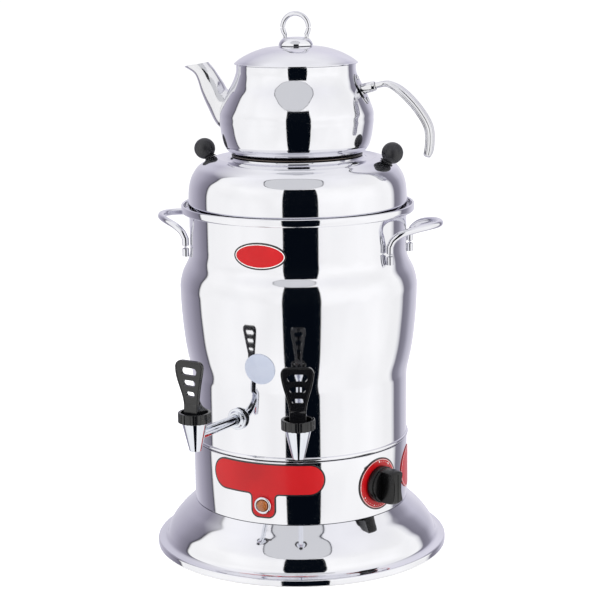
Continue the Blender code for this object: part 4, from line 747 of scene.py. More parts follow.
@dataclass
class Studio:
    """Camera, floor and lamps, and the tent, card and panels that the polished steel mirrors.

    Angles of cards, panels, lamps and the tent are in degrees from the camera's side towards the right.
    """

    azimuth: float = math.radians(17.1)
    distance: float = 1.986
    height: float = 0.6875
    aim: float = 0.283
    sensor: float = 36.0
    pixels: float = 600.0
    focal_pixels: float = 1778.0
    sideways: float = 1.1
    roll: float = math.radians(-0.7)
    floor_size: float = 60.0
    floor_lift: float = 0.5
    card_radius: float = 2.6
    card_pitch: float = 3.0
    card_least_steps: int = 8
    # First and last angle of the dark flag, and the heights of its lower and its upper edge
    flag: tuple[float, float, float, float] = (-15.5, 20.5, -4.5, 2.35)
    panel_reach: float = 1.72
    panel_angle: float = -6.0
    # Name, radius, height and colour of each panel over the camera
    panels: tuple[tuple[str, float, float, str], ...] = (
        ("roof_panel", 1.22, 2.6, "#DFE0E2"), ("roof_panel_hem", 1.27, 2.62, "#50525A"),
    )
    # Name, angle, distance, height, size and watts of each lamp
    lamps: tuple[tuple[str, float, float, float, float, float], ...] = (
        ("key_left", -48.0, 1.9, 1.7, 1.1, 24.0), ("key_right", 52.0, 1.9, 1.5, 1.1, 20.0),
        ("top", 0.0, 0.4, 2.4, 1.2, 16.0),
    )
    lamp_aim: float = 0.3
    # Angle and colour of the tent's cloth all round
    tent: tuple[tuple[float, str], ...] = (
        (-180.0, "#D2D0DA"), (-160.0, "#C8C6D2"), (-145.0, "#B4B1BE"), (-136.0, "#A5A2B0"),
        (-124.0, "#8E8B98"), (-113.5, "#7A7784"), (-110.8, "#2E2D34"), (-109.2, "#FAFAF8"),
        (114.0, "#FAFAF8"), (119.0, "#D8D8DB"), (122.0, "#777581"), (133.0, "#8C8A96"),
        (144.0, "#BEBCC9"), (163.0, "#D6D4DE"), (180.0, "#D2D0DA"),
    )
    tent_roof: str = "#F0F0F2"
    # Upward part of the direction in which the wall of the tent turns into its roof
    roof_start: float = 0.52
    roof_end: float = 0.86
    # Level of the tent in its folds, and of the soft light that reaches everything else
    tent_levels: tuple[float, float] = (1.10, 1.24)
    soft_level: float = 0.62

    def camera(self) -> None:
        """Put the camera at the photograph's viewpoint."""
        deselect_all()
        bpy.ops.object.camera_add()
        item = bpy.context.object
        item.name = "viewpoint"
        item.data.sensor_width = self.sensor
        item.data.lens = self.focal_pixels / self.pixels * item.data.sensor_width
        place = round_axis(self.distance, self.azimuth, self.height)
        aimed = (Vector((0.0, 0.0, self.aim)) - place).to_track_quat("-Z", "Y")
        turn = Quaternion((0.0, 1.0, 0.0), -self.sideways / self.focal_pixels)
        item.rotation_mode = "QUATERNION"
        item.rotation_quaternion = aimed @ turn @ Quaternion((0.0, 0.0, 1.0), self.roll)
        item.location = place
        bpy.context.scene.camera = item

    def floor(self) -> None:
        """Lay a plain pale floor that keeps the object's shadow."""
        deselect_all()
        bpy.ops.mesh.primitive_plane_add(size=self.floor_size)
        item = bpy.context.object
        item.name = "floor"
        made = bpy.data.materials.new("floor_paper_matt")
        tree = bare_tree(made)
        rays = add_node(tree, "ShaderNodeLightPath")
        matt = add_node(tree, "ShaderNodeBsdfDiffuse", inputs={"Color": linear("#F4F4F6")})
        lift = add_node(
            tree, "ShaderNodeEmission", inputs={"Color": linear("#FFFFFF"), "Strength": self.floor_lift})
        both = add_node(
            tree, "ShaderNodeAddShader", links={0: matt.outputs["BSDF"], 1: lift.outputs["Emission"]})
        seen = add_node(
            tree, "ShaderNodeMixShader",
            links={"Fac": rays.outputs["Is Camera Ray"], 1: matt.outputs["BSDF"], 2: both.outputs["Shader"]})
        add_node(tree, "ShaderNodeOutputMaterial", links={"Surface": seen.outputs["Shader"]})
        item.data.materials.append(made)
        item.visible_glossy = False

    def card(self, name: str, colour: str, start: float, end: float, low: float, high: float) -> None:
        """Stand a curved card round the object that only its reflections show.

        Args:
            name: name of the card.
            colour: what its reflection looks like.
            start: first angle.
            end: last angle.
            low: height of the lower edge.
            high: height of the upper edge.
        """
        first = self.azimuth + math.radians(start)
        draw(name, [round_axis(self.card_radius, first, level) for level in (low, high)])
        steps = max(self.card_least_steps, int(abs(end - start) / self.card_pitch))
        spin_round(steps, -math.radians(end - start))
        self.hang(close_edit(), colour)

    def hang(self, item: bpy.types.Object, colour: str) -> None:
        """Make a mesh glow in one colour, for reflections only.

        Args:
            item: the mesh.
            colour: its colour.
        """
        made = bpy.data.materials.new(f"{item.name}_paper")
        tree = bare_tree(made)
        glow = add_node(tree, "ShaderNodeEmission", inputs={"Color": linear(colour), "Strength": 1.0})
        add_node(tree, "ShaderNodeOutputMaterial", links={"Surface": glow.outputs["Emission"]})
        item.data.materials.append(made)
        for ray in ("camera", "diffuse", "shadow", "transmission", "volume_scatter"):
            setattr(item, f"visible_{ray}", False)

    def roof_panel(self) -> None:
        """Hang a round grey panel with a dark hem over the camera, which the pot's shoulder mirrors."""
        turn = self.azimuth + math.radians(self.panel_angle)
        for name, size, level, colour in self.panels:
            deselect_all()
            bpy.ops.mesh.primitive_circle_add(
                vertices=72, radius=size, fill_type="NGON",
                location=round_axis(self.panel_reach, turn, level))
            bpy.context.object.name = name
            self.hang(bpy.context.object, colour)

    def lamp(
        self, name: str, angle: float, distance: float, height: float, size: float, power: float,
    ) -> None:
        """Add one soft lamp that points at the object and shows in no reflection.

        Args:
            name: name of the lamp.
            angle: where it stands.
            distance: how far from Z.
            height: its height.
            size: diameter of its disk.
            power: its power in watts.
        """
        place = round_axis(distance, self.azimuth + math.radians(angle), height)
        deselect_all()
        bpy.ops.object.light_add(type="AREA", location=place)
        item = bpy.context.object
        item.name = name
        item.data.shape = "DISK"
        item.data.size = size
        item.data.energy = power
        item.rotation_mode = "QUATERNION"
        item.rotation_quaternion = (Vector((0.0, 0.0, self.lamp_aim)) - place).to_track_quat("-Z", "Y")
        item.visible_glossy = False

    def surround(self, tree: bpy.types.NodeTree) -> bpy.types.NodeSocket:
        """What polished steel mirrors: a white tent, greyer behind the object and paler overhead.

        Args:
            tree: the world's node tree.

        Returns:
            The colour seen in each direction.
        """
        place = add_node(tree, "ShaderNodeTexCoord").outputs["Generated"]
        turned = add_node(
            tree, "ShaderNodeMapping", inputs={"Rotation": (0.0, 0.0, -self.azimuth)},
            links={"Vector": place})
        parts = add_node(tree, "ShaderNodeSeparateXYZ", links={"Vector": turned.outputs["Vector"]})
        ahead = add_node(
            tree, "ShaderNodeMath", {"operation": "MULTIPLY"}, {1: -1.0}, {0: parts.outputs["Y"]})
        angle = add_node(
            tree, "ShaderNodeMath", {"operation": "ARCTAN2"},
            links={0: parts.outputs["X"], 1: ahead.outputs[0]})
        share = add_node(
            tree, "ShaderNodeMapRange", inputs={"From Min": -math.pi, "From Max": math.pi},
            links={"Value": angle.outputs[0]})
        ramp = add_node(tree, "ShaderNodeValToRGB", links={"Fac": share.outputs["Result"]})
        stops = ramp.color_ramp.elements
        for turn, colour in self.tent:
            place_on_ramp = (turn + 180.0) / 360.0
            at_end = {0.0: 0, 1.0: -1}.get(place_on_ramp)
            stop = stops.new(place_on_ramp) if at_end is None else stops[at_end]
            stop.color = linear(colour)
        raised = add_node(
            tree, "ShaderNodeMapRange", inputs={"From Min": self.roof_start, "From Max": self.roof_end},
            links={"Value": parts.outputs["Z"]})
        lifted = add_node(
            tree, "ShaderNodeMix", {"data_type": "RGBA"}, {"B": linear(self.tent_roof)},
            {"Factor": raised.outputs["Result"], "A": ramp.outputs["Color"]})
        return lifted.outputs["Result"]

    def world(self) -> None:
        """White for the camera, the tent for reflections, and a softer level for all other light."""
        world = bpy.data.worlds.new("studio")
        bpy.context.scene.world = world
        tree = bare_tree(world)
        rays = add_node(tree, "ShaderNodeLightPath")
        through = add_node(
            tree, "ShaderNodeMath", {"operation": "MAXIMUM"},
            links={0: rays.outputs["Is Camera Ray"], 1: rays.outputs["Is Transmission Ray"]})
        level = add_node(
            tree, "ShaderNodeMapRange", inputs={"To Min": self.soft_level, "To Max": 1.0},
            links={"Value": through.outputs[0]})
        plain = add_node(
            tree, "ShaderNodeBackground", inputs={"Color": linear("#FFFFFF")},
            links={"Strength": level.outputs["Result"]})
        folds = add_node(
            tree, "ShaderNodeTexNoise", inputs={"Scale": 1.6, "Detail": 2.0, "Roughness": 0.4},
            links={"Vector": add_node(tree, "ShaderNodeTexCoord").outputs["Generated"]})
        gleam = add_node(
            tree, "ShaderNodeMapRange",
            inputs={"From Min": 0.3, "From Max": 0.7,
                    "To Min": self.tent_levels[0], "To Max": self.tent_levels[1]},
            links={"Value": folds.outputs["Fac"]})
        tent = add_node(
            tree, "ShaderNodeBackground",
            links={"Color": self.surround(tree), "Strength": gleam.outputs["Result"]})
        sky = add_node(
            tree, "ShaderNodeMixShader",
            links={"Fac": rays.outputs["Is Glossy Ray"], 1: plain.outputs["Background"],
                   2: tent.outputs["Background"]})
        add_node(tree, "ShaderNodeOutputWorld", links={"Surface": sky.outputs["Shader"]})

    def build(self) -> None:
        """Set the whole stage."""
        bpy.context.scene.view_settings.view_transform = "Standard"
        self.camera()
        self.floor()
        self.world()
        self.card("dark_flag", "#060B13", *self.flag)
        self.roof_panel()
        for lamp in self.lamps:
            self.lamp(*lamp)


# ---------------------------------------------------------------- urn shells


@dataclass
class UrnShell:
    """Bell foot, control band and water tank, each one turned sheet.

    Shares are of the part's largest radius and of its height, from the top down.
    """

    skirt_radius: float = 167.0 * MM
    skirt_edge: float = 1.5 * MM
    skirt_height: float = 53.5 * MM
    band_radius: float = 122.8 * MM
    band_low: float = 55.3 * MM
    band_high: float = 126.6 * MM
    flange: float = 6.8 * MM
    tank_low: float = 126.9 * MM
    tank_height: float = 260.1 * MM
    tank_radius: float = 134.2 * MM
    lip_radius: float = 131.2 * MM
    lip_top: float = 395.9 * MM
    shelf_share: float = 0.1
    skirt_shares: tuple[Point, ...] = (
        (0.7784, 0.8692), (0.8234, 0.7383), (0.8665, 0.5888), (0.8982, 0.4579), (0.9192, 0.3271),
        (0.9341, 0.2150), (0.9521, 0.1589), (0.9930, 0.1250),
    )
    tank_shares: tuple[Point, ...] = (
        (0.9121, 0.8700), (0.9121, 0.8270), (0.9277, 0.7924), (0.9747, 0.7424), (0.9978, 0.6963),
        (1.0, 0.6540), (0.9925, 0.5656), (0.9732, 0.4579), (0.9501, 0.3810), (0.9210, 0.3118),
        (0.9136, 0.2734), (0.9106, 0.1800),
    )

    def tank_wall(self) -> Outline:
        """Outer side of the tank between the rim's underside and the seam."""
        top = [(self.tank_radius * self.tank_shares[0][0], self.tank_low + self.tank_height)]
        return top + flow(scaled(self.tank_shares, self.tank_radius, self.tank_low, self.tank_height))

    def skirt(self) -> None:
        """Bell foot: a flange under the band, the flare, a narrow shelf and a rolled rim."""
        edge = self.skirt_radius
        top = self.skirt_edge + self.skirt_height
        bead = 2.1 * MM
        bead_lift = 1.2 * MM
        shelf = self.skirt_edge + self.skirt_height * self.shelf_share
        flare = [(self.band_radius, top)]
        flare += scaled(self.skirt_shares, self.skirt_radius, self.skirt_edge, self.skirt_height)
        outline = [(self.band_radius - self.flange, top)] + flow(flare)
        outline += arc((edge - bead, shelf - bead + bead_lift), bead, QUARTER, 0.0, 5)
        outline += [(edge, self.skirt_edge)]
        dress(shell("base_skirt_shell", outline), "urn", ("base_skirt",), MIRROR_STEEL)

    def band(self) -> None:
        """Control band: a plain drum with softly turned edges and a lower flange."""
        edge = 1.0 * MM
        outline = [(self.band_radius - edge, self.band_high)]
        outline += arc((self.band_radius - edge, self.band_high - edge), edge, QUARTER, 0.0, 4)[1:]
        outline += arc((self.band_radius - edge, self.band_low + edge), edge, 0.0, -QUARTER, 4)
        outline += [(self.band_radius - self.flange, self.band_low)]
        dress(shell("control_band_shell", outline), "urn", ("control_band",), MIRROR_STEEL)

    def tank(self) -> None:
        """Water tank: rolled rim, bellied wall, seam bead and floor, satin inside."""
        foot = self.tank_radius * self.tank_shares[-1][0]
        under = self.tank_low + self.tank_height
        bead = 1.4 * MM
        hem = 2.2 * MM
        seam = 2.1 * MM
        seam_height = 3.2 * MM
        neck_height = 7.4 * MM
        outline = arc((self.lip_radius - bead, self.lip_top - bead), bead, math.pi * 0.9, 0.0, 7)
        outline += arc((self.lip_radius - hem, under + hem), hem, 0.0, -QUARTER, 5)
        outline += self.tank_wall()
        outline += [(foot, self.tank_low + neck_height)]
        outline += arc((foot, self.tank_low + seam_height), seam, QUARTER, -QUARTER, 8)
        outline += [(foot - 1.0 * MM, self.tank_low), (0.0, self.tank_low)]
        item = dress(shell("tank_shell", outline), "urn", ("tank",), MIRROR_STEEL, SATIN_STEEL)
        paint(item, 1, lambda centre, normal: (
            self.tank_low + 0.6 * MM < centre.z < under - 2.0 * MM and faces_axis(centre, normal)
            and math.hypot(centre.x, centre.y) > foot * 0.5))

    def build(self) -> None:
        """Build the three shells."""
        self.skirt()
        self.band()
        self.tank()


@dataclass
class DomeLid:
    """Dome lid with its seat for the teapot, its plug and its two ball knobs."""

    radius: float = 122.9 * MM
    low: float = 388.3 * MM
    height: float = 60.7 * MM
    steam_hole: float = 62.0 * MM
    plug_inset: float = 3.3 * MM
    plug_depth: float = 14.3 * MM
    ball: float = 12.0 * MM
    standoff: float = 12.8 * MM
    tilt: float = math.radians(57)
    seat_share: float = 0.838
    neck: float = 5.8 * MM
    flare: float = 7.8 * MM
    shares: tuple[Point, ...] = (
        (0.7320, 0.9840), (0.7974, 0.9506), (0.8462, 0.8929), (0.9032, 0.8188), (0.9398, 0.7282),
        (0.9723, 0.6046), (0.9927, 0.4399), (1.0, 0.2422), (1.0, 0.06),
    )
    seat_shares: tuple[Point, ...] = ((0.6103, 1.0), (0.6347, 0.9506), (0.6916, 0.9506), (0.7320, 0.9840))

    def wall(self) -> Outline:
        """Outer side of the dome, top to bottom."""
        return flow(scaled(self.shares, self.radius, self.low, self.height))

    def lid(self) -> None:
        """Dome: seat ring, crest, shoulder, and the plug that enters the tank."""
        edge = 1.2 * MM
        crest = self.low + self.height
        seat = flow(scaled(self.seat_shares, self.radius, self.low, self.height), 3)[:-1]
        plug = self.radius - self.plug_inset
        outline = [(self.steam_hole, crest)] + seat + self.wall()
        outline += arc((self.radius - edge, self.low + edge), edge, 0.0, -QUARTER, 4)
        outline += [(plug, self.low), (plug, self.low - self.plug_depth + GAP)]
        dress(shell("dome_shell", outline), "dome", ("dome_lid",), MIRROR_STEEL)

    def knob(self, side: str, sign: int) -> None:
        """Ball knob on a flared neck, square to the dome's shoulder.

        Args:
            side: left or right.
            sign: -1 for the left, 1 for the right.
        """
        steps = 22
        throat = math.sqrt(self.ball ** 2 - self.neck ** 2)
        last = math.pi - math.atan2(self.neck, throat)
        turns = [last * step / steps for step in range(steps + 1)]
        outline = [(self.ball * math.sin(turn), self.standoff + self.ball * math.cos(turn)) for turn in turns]
        foot = GAP * 2
        sweep = self.flare - self.neck
        outline += arc((self.flare, foot + sweep), sweep, math.pi, math.pi + QUARTER, 5)
        outline += [(0.0, foot)]
        item = spun(f"dome_ball_knob_{side}", outline, SMALL_ROUND_STEPS)
        reach = self.radius * self.seat_share
        height = self.low
        for start, end in zip(self.wall(), self.wall()[1:]):
            if start[0] <= reach <= end[0] and end[0] > start[0]:
                height = start[1] + (end[1] - start[1]) * (reach - start[0]) / (end[0] - start[0])
        settle(item, Matrix.Translation((sign * reach, 0.0, height))
               @ Matrix.Rotation(sign * (QUARTER - self.tilt), 4, "Y"))
        dress(item, "dome", (f"dome_knob_{side}",), PHENOLIC_MATT)

    def build(self) -> None:
        """Build the dome and both knobs."""
        self.lid()
        for side, sign in (("left", -1), ("right", 1)):
            self.knob(side, sign)


@dataclass
class Teapot:
    """Teapot: turned body and base disc, and the lid with its finial and ring."""

    radius: float = 85.9 * MM
    base_low: float = 449.3 * MM
    base_radius: float = 73.5 * MM
    base_thickness: float = 3.0 * MM
    floor: float = 452.6 * MM
    height: float = 98.4 * MM
    shares: tuple[Point, ...] = (
        (0.7753, 1.0), (0.7790, 0.9085), (0.8265, 0.7967), (0.8964, 0.6850), (0.9581, 0.5630),
        (0.9977, 0.4614), (1.0, 0.3902), (0.9988, 0.3293), (0.9779, 0.1972), (0.9430, 0.0854),
        (0.8906, 0.0224), (0.8324, 0.0),
    )
    lid_radius: float = 69.0 * MM
    lid_low: float = 551.3 * MM
    lid_height: float = 19.2 * MM
    lid_shares: tuple[Point, ...] = (
        (0.0362, 1.0), (0.1400, 1.0), (0.2754, 0.9900), (0.4928, 0.8958), (0.6232, 0.7656),
        (0.7391, 0.6094), (0.8551, 0.4010), (0.9420, 0.2031), (0.9850, 0.0700),
    )
    finial_radius: float = 19.0 * MM
    finial_low: float = 570.8 * MM
    finial_height: float = 9.2 * MM
    finial_shares: tuple[Point, ...] = (
        (0.0, 1.0), (0.3000, 1.0), (0.6050, 0.9750), (0.7900, 0.8000), (0.9200, 0.5200),
        (0.9850, 0.2600), (1.0, 0.1100), (0.9950, 0.0300), (0.9800, 0.0),
    )
    ring_radius: float = 14.85 * MM
    ring_wire: float = 2.65 * MM
    ring_legs: float = 12.6 * MM
    ring_centre: float = 591.0 * MM
    ring_foot: float = 576.0 * MM

    def wall(self) -> Outline:
        """Outer side of the pot, rim to floor."""
        return flow(scaled(self.shares, self.radius, self.floor, self.height))

    def body(self) -> None:
        """Pot with its rolled rim and its floor, satin inside."""
        rim = self.radius * self.shares[0][0]
        top = self.floor + self.height
        bead = 0.9 * MM
        outline = arc((rim - bead, top - bead), bead, QUARTER, 0.0, 4)[:-1]
        outline += self.wall()[1:] + [(0.0, self.floor)]
        item = shell("teapot_body_shell", outline)
        dress(item, "teapot", ("teapot_body",), MIRROR_STEEL, SATIN_STEEL)
        paint(item, 1, lambda centre, normal: (
            self.floor + 0.6 * MM < centre.z < top - 3.0 * MM
            and (faces_axis(centre, normal) or (normal.z > 0.5 and centre.z < self.floor + 6.0 * MM))))

    def base(self) -> None:
        """Thick heat-spreading disc under the pot, with softened edges and its core as a thin line."""
        edge = 1.2 * MM
        top = self.base_low + self.base_thickness
        outline = [(0.0, top)] + arc((self.base_radius - edge, top - edge), edge, QUARTER, 0.0, 5)
        outline += arc((self.base_radius - edge, self.base_low + edge), edge, 0.0, -QUARTER, 5)
        outline += [(0.0, self.base_low)]
        item = spun("teapot_base_disc", outline)
        # Painted shade: the disc's outside is nearly black, for the shadow gaps round it
        dress(item, "teapot", ("teapot_base",), DISC_EDGE_SHADE, ALUMINIUM_CORE)
        paint(item, 1, lambda centre, _: abs(centre.z - (top + self.base_low) / 2) < 0.4 * MM)

    def lid(self) -> None:
        """Low domed lid with a turned-in edge and a plug."""
        plug = self.lid_radius - 4.4 * MM
        outline = flow(scaled(self.lid_shares, self.lid_radius, self.lid_low, self.lid_height))
        outline += [(self.lid_radius, self.lid_low + 0.7 * MM), (self.lid_radius - 0.2 * MM, self.lid_low)]
        outline += [(plug, self.lid_low), (plug, self.lid_low - 5.8 * MM)]
        dress(shell("teapot_lid_shell", outline), "pot_lid", ("teapot_lid",), MIRROR_STEEL)

    def finial(self) -> None:
        """Solid turned finial, flat on top, with the sockets of the ring."""
        depth = 12.0 * MM
        outline = flow(scaled(self.finial_shares, self.finial_radius, self.finial_low, self.finial_height))
        outline += [(0.0, self.finial_low)]
        item = spun("lid_finial_turned", outline, SMALL_ROUND_STEPS * 2)
        for sign in (-1, 1):
            deselect_all()
            bpy.ops.mesh.primitive_cylinder_add(
                vertices=24, radius=self.ring_wire + GAP, depth=depth,
                location=(sign * self.ring_legs, 0.0, self.ring_foot - GAP + depth / 2))
            carve(item, bpy.context.object)
        dress(item, "pot_lid", ("lid_finial",), MIRROR_STEEL)

    def ring(self) -> None:
        """Round wire loop that stands in the finial."""
        spread = math.acos(self.ring_legs / self.ring_radius)
        loop = arc((0.0, self.ring_centre), self.ring_radius, -spread, math.pi + spread, 44)
        route = [(self.ring_legs, self.ring_foot)] + loop + [(-self.ring_legs, self.ring_foot)]
        item = tube("lid_ring_wire", [Vector((across, 0.0, up)) for across, up in route], self.ring_wire)
        dress(item, "pot_lid", ("lid_ring",), BUFFED_ROD)

    def build(self) -> None:
        """Build the pot and its lid."""
        self.body()
        self.base()
        self.lid()
        self.finial()
        self.ring()


# ---------------------------------------------------------------- labels, lamp and knob


def plate(name: str, plan: Outline, borders: tuple[float, ...], pitch: float) -> bpy.types.Object:
    """Flat plate from a plan, with inset borders and cuts that let it bend.

    Args:
        name: name of the new object.
        plan: outline in the plate's own X and Y.
        borders: width of each border, from the edge inward; each starts the next material slot.
        pitch: distance between the cuts across X and Y.

    Returns:
        The flat plate, one face thick.
    """
    item = filled(name, [Vector((across, up, 0.0)) for across, up in plan])
    for index, width in enumerate(borders):
        bpy.ops.mesh.inset(thickness=width, depth=0.0)
        work = bmesh.from_edit_mesh(item.data)
        for face in work.faces:
            if face.select:
                face.material_index = index + 1
        bmesh.update_edit_mesh(item.data)
    for axis in (0, 1):
        low = min(point[axis] for point in plan)
        high = max(point[axis] for point in plan)
        count = int((high - low) / pitch)
        for step in range(1, count + 1):
            place = [0.0, 0.0, 0.0]
            normal = [0.0, 0.0, 0.0]
            place[axis] = low + (high - low) * step / (count + 1)
            normal[axis] = 1.0
            bpy.ops.mesh.select_all(action="SELECT")
            bpy.ops.mesh.bisect(plane_co=place, plane_no=normal)
    return close_edit()


def wrap(
    item: bpy.types.Object, wall: Outline, angle: float, height: float, gap: float, thickness: float,
) -> bpy.types.Object:
    """Bend a flat plate round a turned wall and give it its thickness.

    Args:
        item: the flat plate.
        wall: outer side of the wall, top to bottom.
        angle: where the plate's middle goes, round the urn.
        height: height of the plate's middle.
        gap: clearance to the wall.
        thickness: thickness of the plate.

    Returns:
        The bent plate.
    """
    for vertex in item.data.vertices:
        across, up = vertex.co.x, vertex.co.y
        reach = radius_on(wall, height + up) + gap
        vertex.co = round_axis(reach, angle + across / reach, height + up)
    open_edit(item)
    face_outward()
    close_edit()
    face = item.data.polygons[0]
    if face.normal.x * face.center.x + face.normal.y * face.center.y < 0:
        item.data.flip_normals()
    apply_modifier(item, "SOLIDIFY", thickness=thickness, offset=1.0)
    return smooth(item)


def ellipse(half_width: float, half_height: float, steps: int = 72) -> Outline:
    """Points round an ellipse, from its right end upward.

    Args:
        half_width: half of its width.
        half_height: half of its height.
        steps: number of points.

    Returns:
        The points, each named once.
    """
    return [
        (half_width * math.cos(TAU * step / steps), half_height * math.sin(TAU * step / steps))
        for step in range(steps)
    ]


@dataclass(frozen=True)
class Badge:
    """One round or oval plate: its size, place, borders, and its finishes from the edge inward."""

    piece: str
    node: str
    half_width: float
    half_height: float
    borders: tuple[float, ...]
    angle: float
    height: float
    finishes: tuple[Finish, ...]
    on_tank: bool = False


@dataclass
class Labels:
    """Bare printed plates on the band and the tank, and the dial's marks."""

    shell: UrnShell
    thickness: float = 0.6 * MM
    panel_angle: float = math.radians(-2.05)
    panel_length: float = 136.0 * MM
    panel_low: float = 89.0 * MM
    panel_high: float = 125.0 * MM
    tab_offset: float = -1.4 * MM
    tab_width: float = 28.8 * MM
    tab_low: float = 62.3 * MM
    tab_corner: float = 9.0 * MM
    tab_fillet: float = 4.0 * MM
    lamp_angle: float = math.radians(-2.7)
    lamp_height: float = 77.4 * MM
    dial_angle: float = math.radians(62)
    dial_height: float = 91.4 * MM
    dial_radius: float = 29.5 * MM
    mark_radius: float = 24.9 * MM
    dots: int = 31
    dot_large: float = 0.75 * MM
    dot_small: float = 0.42 * MM
    dots_apart: int = 5
    dot_start: float = 210.0
    dot_pitch: float = 8.0
    figures: tuple[str, ...] = ("0", "30", "50", "70", "90")
    figure_pitch: float = 36.0
    figure_size: float = 3.6 * MM
    ink: float = 0.08 * MM
    pitch: float = 4.5 * MM

    def band_wall(self) -> Outline:
        """Outer side of the control band."""
        return [(self.shell.band_radius, self.shell.band_high), (self.shell.band_radius, self.shell.band_low)]

    def panel_plan(self) -> Outline:
        """Plan of the name panel: a long round-ended bar with a tab below its middle.

        Returns:
            The plan's points, each named once.
        """
        half = (self.panel_high - self.panel_low) / 2
        end = self.panel_length / 2 - half
        left = self.tab_offset - self.tab_width / 2
        right = self.tab_offset + self.tab_width / 2
        low = self.tab_low - (self.panel_high + self.panel_low) / 2
        shoulder = -half - self.tab_fillet
        corner = self.tab_corner
        fillet = self.tab_fillet
        plan = arc((end, 0.0), half, -QUARTER, QUARTER, 20)
        plan += arc((-end, 0.0), half, QUARTER, QUARTER * 3, 20)
        plan += arc((left - fillet, shoulder), fillet, QUARTER, 0.0, 6)
        plan += arc((left + corner, low + corner), corner, math.pi, QUARTER * 3, 8)
        plan += arc((right - corner, low + corner), corner, -QUARTER, 0.0, 8)
        return plan + arc((right + fillet, shoulder), fillet, math.pi, QUARTER, 6)

    def marks(self) -> None:
        """White dots and plain numbers round the dial."""
        items = []
        for step in range(self.dots):
            turn = math.radians(self.dot_start + step * self.dot_pitch)
            size = self.dot_large if step % self.dots_apart == 0 else self.dot_small
            deselect_all()
            bpy.ops.mesh.primitive_circle_add(
                vertices=10, radius=size, fill_type="NGON",
                location=(self.mark_radius * math.cos(turn), self.mark_radius * math.sin(turn), 0.0))
            items.append(bpy.context.object)
        for step, value in enumerate(self.figures):
            turn = math.radians(90 - step * self.figure_pitch)
            deselect_all()
            bpy.ops.object.text_add()
            figure = bpy.context.object
            figure.data.body = value
            figure.data.size = self.figure_size
            figure.data.align_x = "CENTER"
            figure.data.align_y = "CENTER"
            bpy.ops.object.convert(target="MESH")
            items.append(settle(figure, Matrix.Translation((
                self.mark_radius * math.cos(turn), self.mark_radius * math.sin(turn), 0.0))))
        for item in items:
            take(item)
            bpy.ops.object.transform_apply(location=True, rotation=True, scale=True)
        item = join("dial_marks", items)
        wrap(item, self.band_wall(), self.dial_angle, self.dial_height, GAP + self.thickness, self.ink)
        dress(item, "urn", (), WHITE_INK)

    def build(self) -> None:
        """Build every plate, then the dial's marks."""
        band = self.band_wall()
        tank = self.shell.tank_wall()
        panel = plate("name_panel_plate", self.panel_plan(), (1.7 * MM,), self.pitch)
        wrap(panel, band, self.panel_angle, (self.panel_high + self.panel_low) / 2, GAP, self.thickness)
        dress(panel, "urn", ("name_panel",), BLACK_VINYL, RED_VINYL)
        for badge in (
            Badge("dial_printed_plate", "dial_plate", self.dial_radius, self.dial_radius,
                  (1.5 * MM, 0.5 * MM, 0.5 * MM), self.dial_angle, self.dial_height,
                  (BLACK_VINYL, RED_VINYL, WHITE_INK, RED_VINYL)),
            Badge("side_badge_plate", "side_badge", 29.0 * MM, 24.0 * MM, (0.9 * MM, 0.6 * MM),
                  math.radians(97.5), 92.0 * MM, (RED_VINYL, WHITE_INK, RED_VINYL)),
            Badge("oval_badge_plate", "oval_badge", 30.0 * MM, 14.8 * MM, (1.7 * MM, 0.9 * MM),
                  math.radians(-2.9), 354.4 * MM, (BLACK_VINYL, WHITE_INK, RED_VINYL), on_tank=True),
            Badge("round_sticker_disc", "round_sticker", 17.3 * MM, 17.3 * MM, (0.6 * MM,),
                  math.radians(-2.5), 232.0 * MM, (PALE_PAPER, PALE_PAPER), on_tank=True),
        ):
            flat = plate(badge.piece, ellipse(badge.half_width, badge.half_height), badge.borders, self.pitch)
            wrap(flat, tank if badge.on_tank else band, badge.angle, badge.height, GAP, self.thickness)
            dress(flat, "urn", (badge.node,), *badge.finishes)
        self.marks()


@dataclass
class PilotLamp:
    """Pilot lamp: a bright rounded bezel and an amber lens with fine rings."""

    labels: Labels
    bezel: float = 9.7 * MM
    proud: float = 3.2 * MM
    lens: float = 6.2 * MM
    crown: float = 2.6 * MM
    ridge: float = 0.22 * MM
    dome_share: float = 0.985
    depth: float = 12.0 * MM

    def build(self) -> None:
        """Build the bezel and the lens."""
        back = GAP * 2 + self.labels.thickness
        front = back + self.proud
        bore = self.lens + GAP
        edge = 1.6 * MM
        placing = outward(self.labels.lamp_angle, self.labels.shell.band_radius, self.labels.lamp_height)
        outline = [(bore, back), (bore, front - 0.9 * MM)]
        outline += arc((self.bezel - edge, front - edge), edge, math.pi * 0.75, 0.0, 8)
        outline += [(self.bezel, back)]
        bezel = spun("lamp_bezel_ring", outline, SMALL_ROUND_STEPS * 2, closed=True)
        dress(settle(bezel, placing), "urn", ("lamp_bezel",), CHROME_PLATE)
        steps = 18
        outline = [(0.0, front + self.crown)]
        for step in range(1, steps + 1):
            turn = QUARTER * step / steps
            # Two steps of each four lie lower, which leaves the rings
            height = self.crown - (self.ridge if step % 4 in (1, 2) else 0.0)
            outline.append((self.lens * math.sin(turn) * self.dome_share, front + height * math.cos(turn)))
        root = back - self.depth
        outline += [(self.lens, front - 1.2 * MM), (self.lens, root), (0.0, root)]
        lens = spun("lamp_lens_dome", outline, SMALL_ROUND_STEPS)
        dress(settle(lens, placing), "urn", ("lamp_lens",), AMBER_LENS)


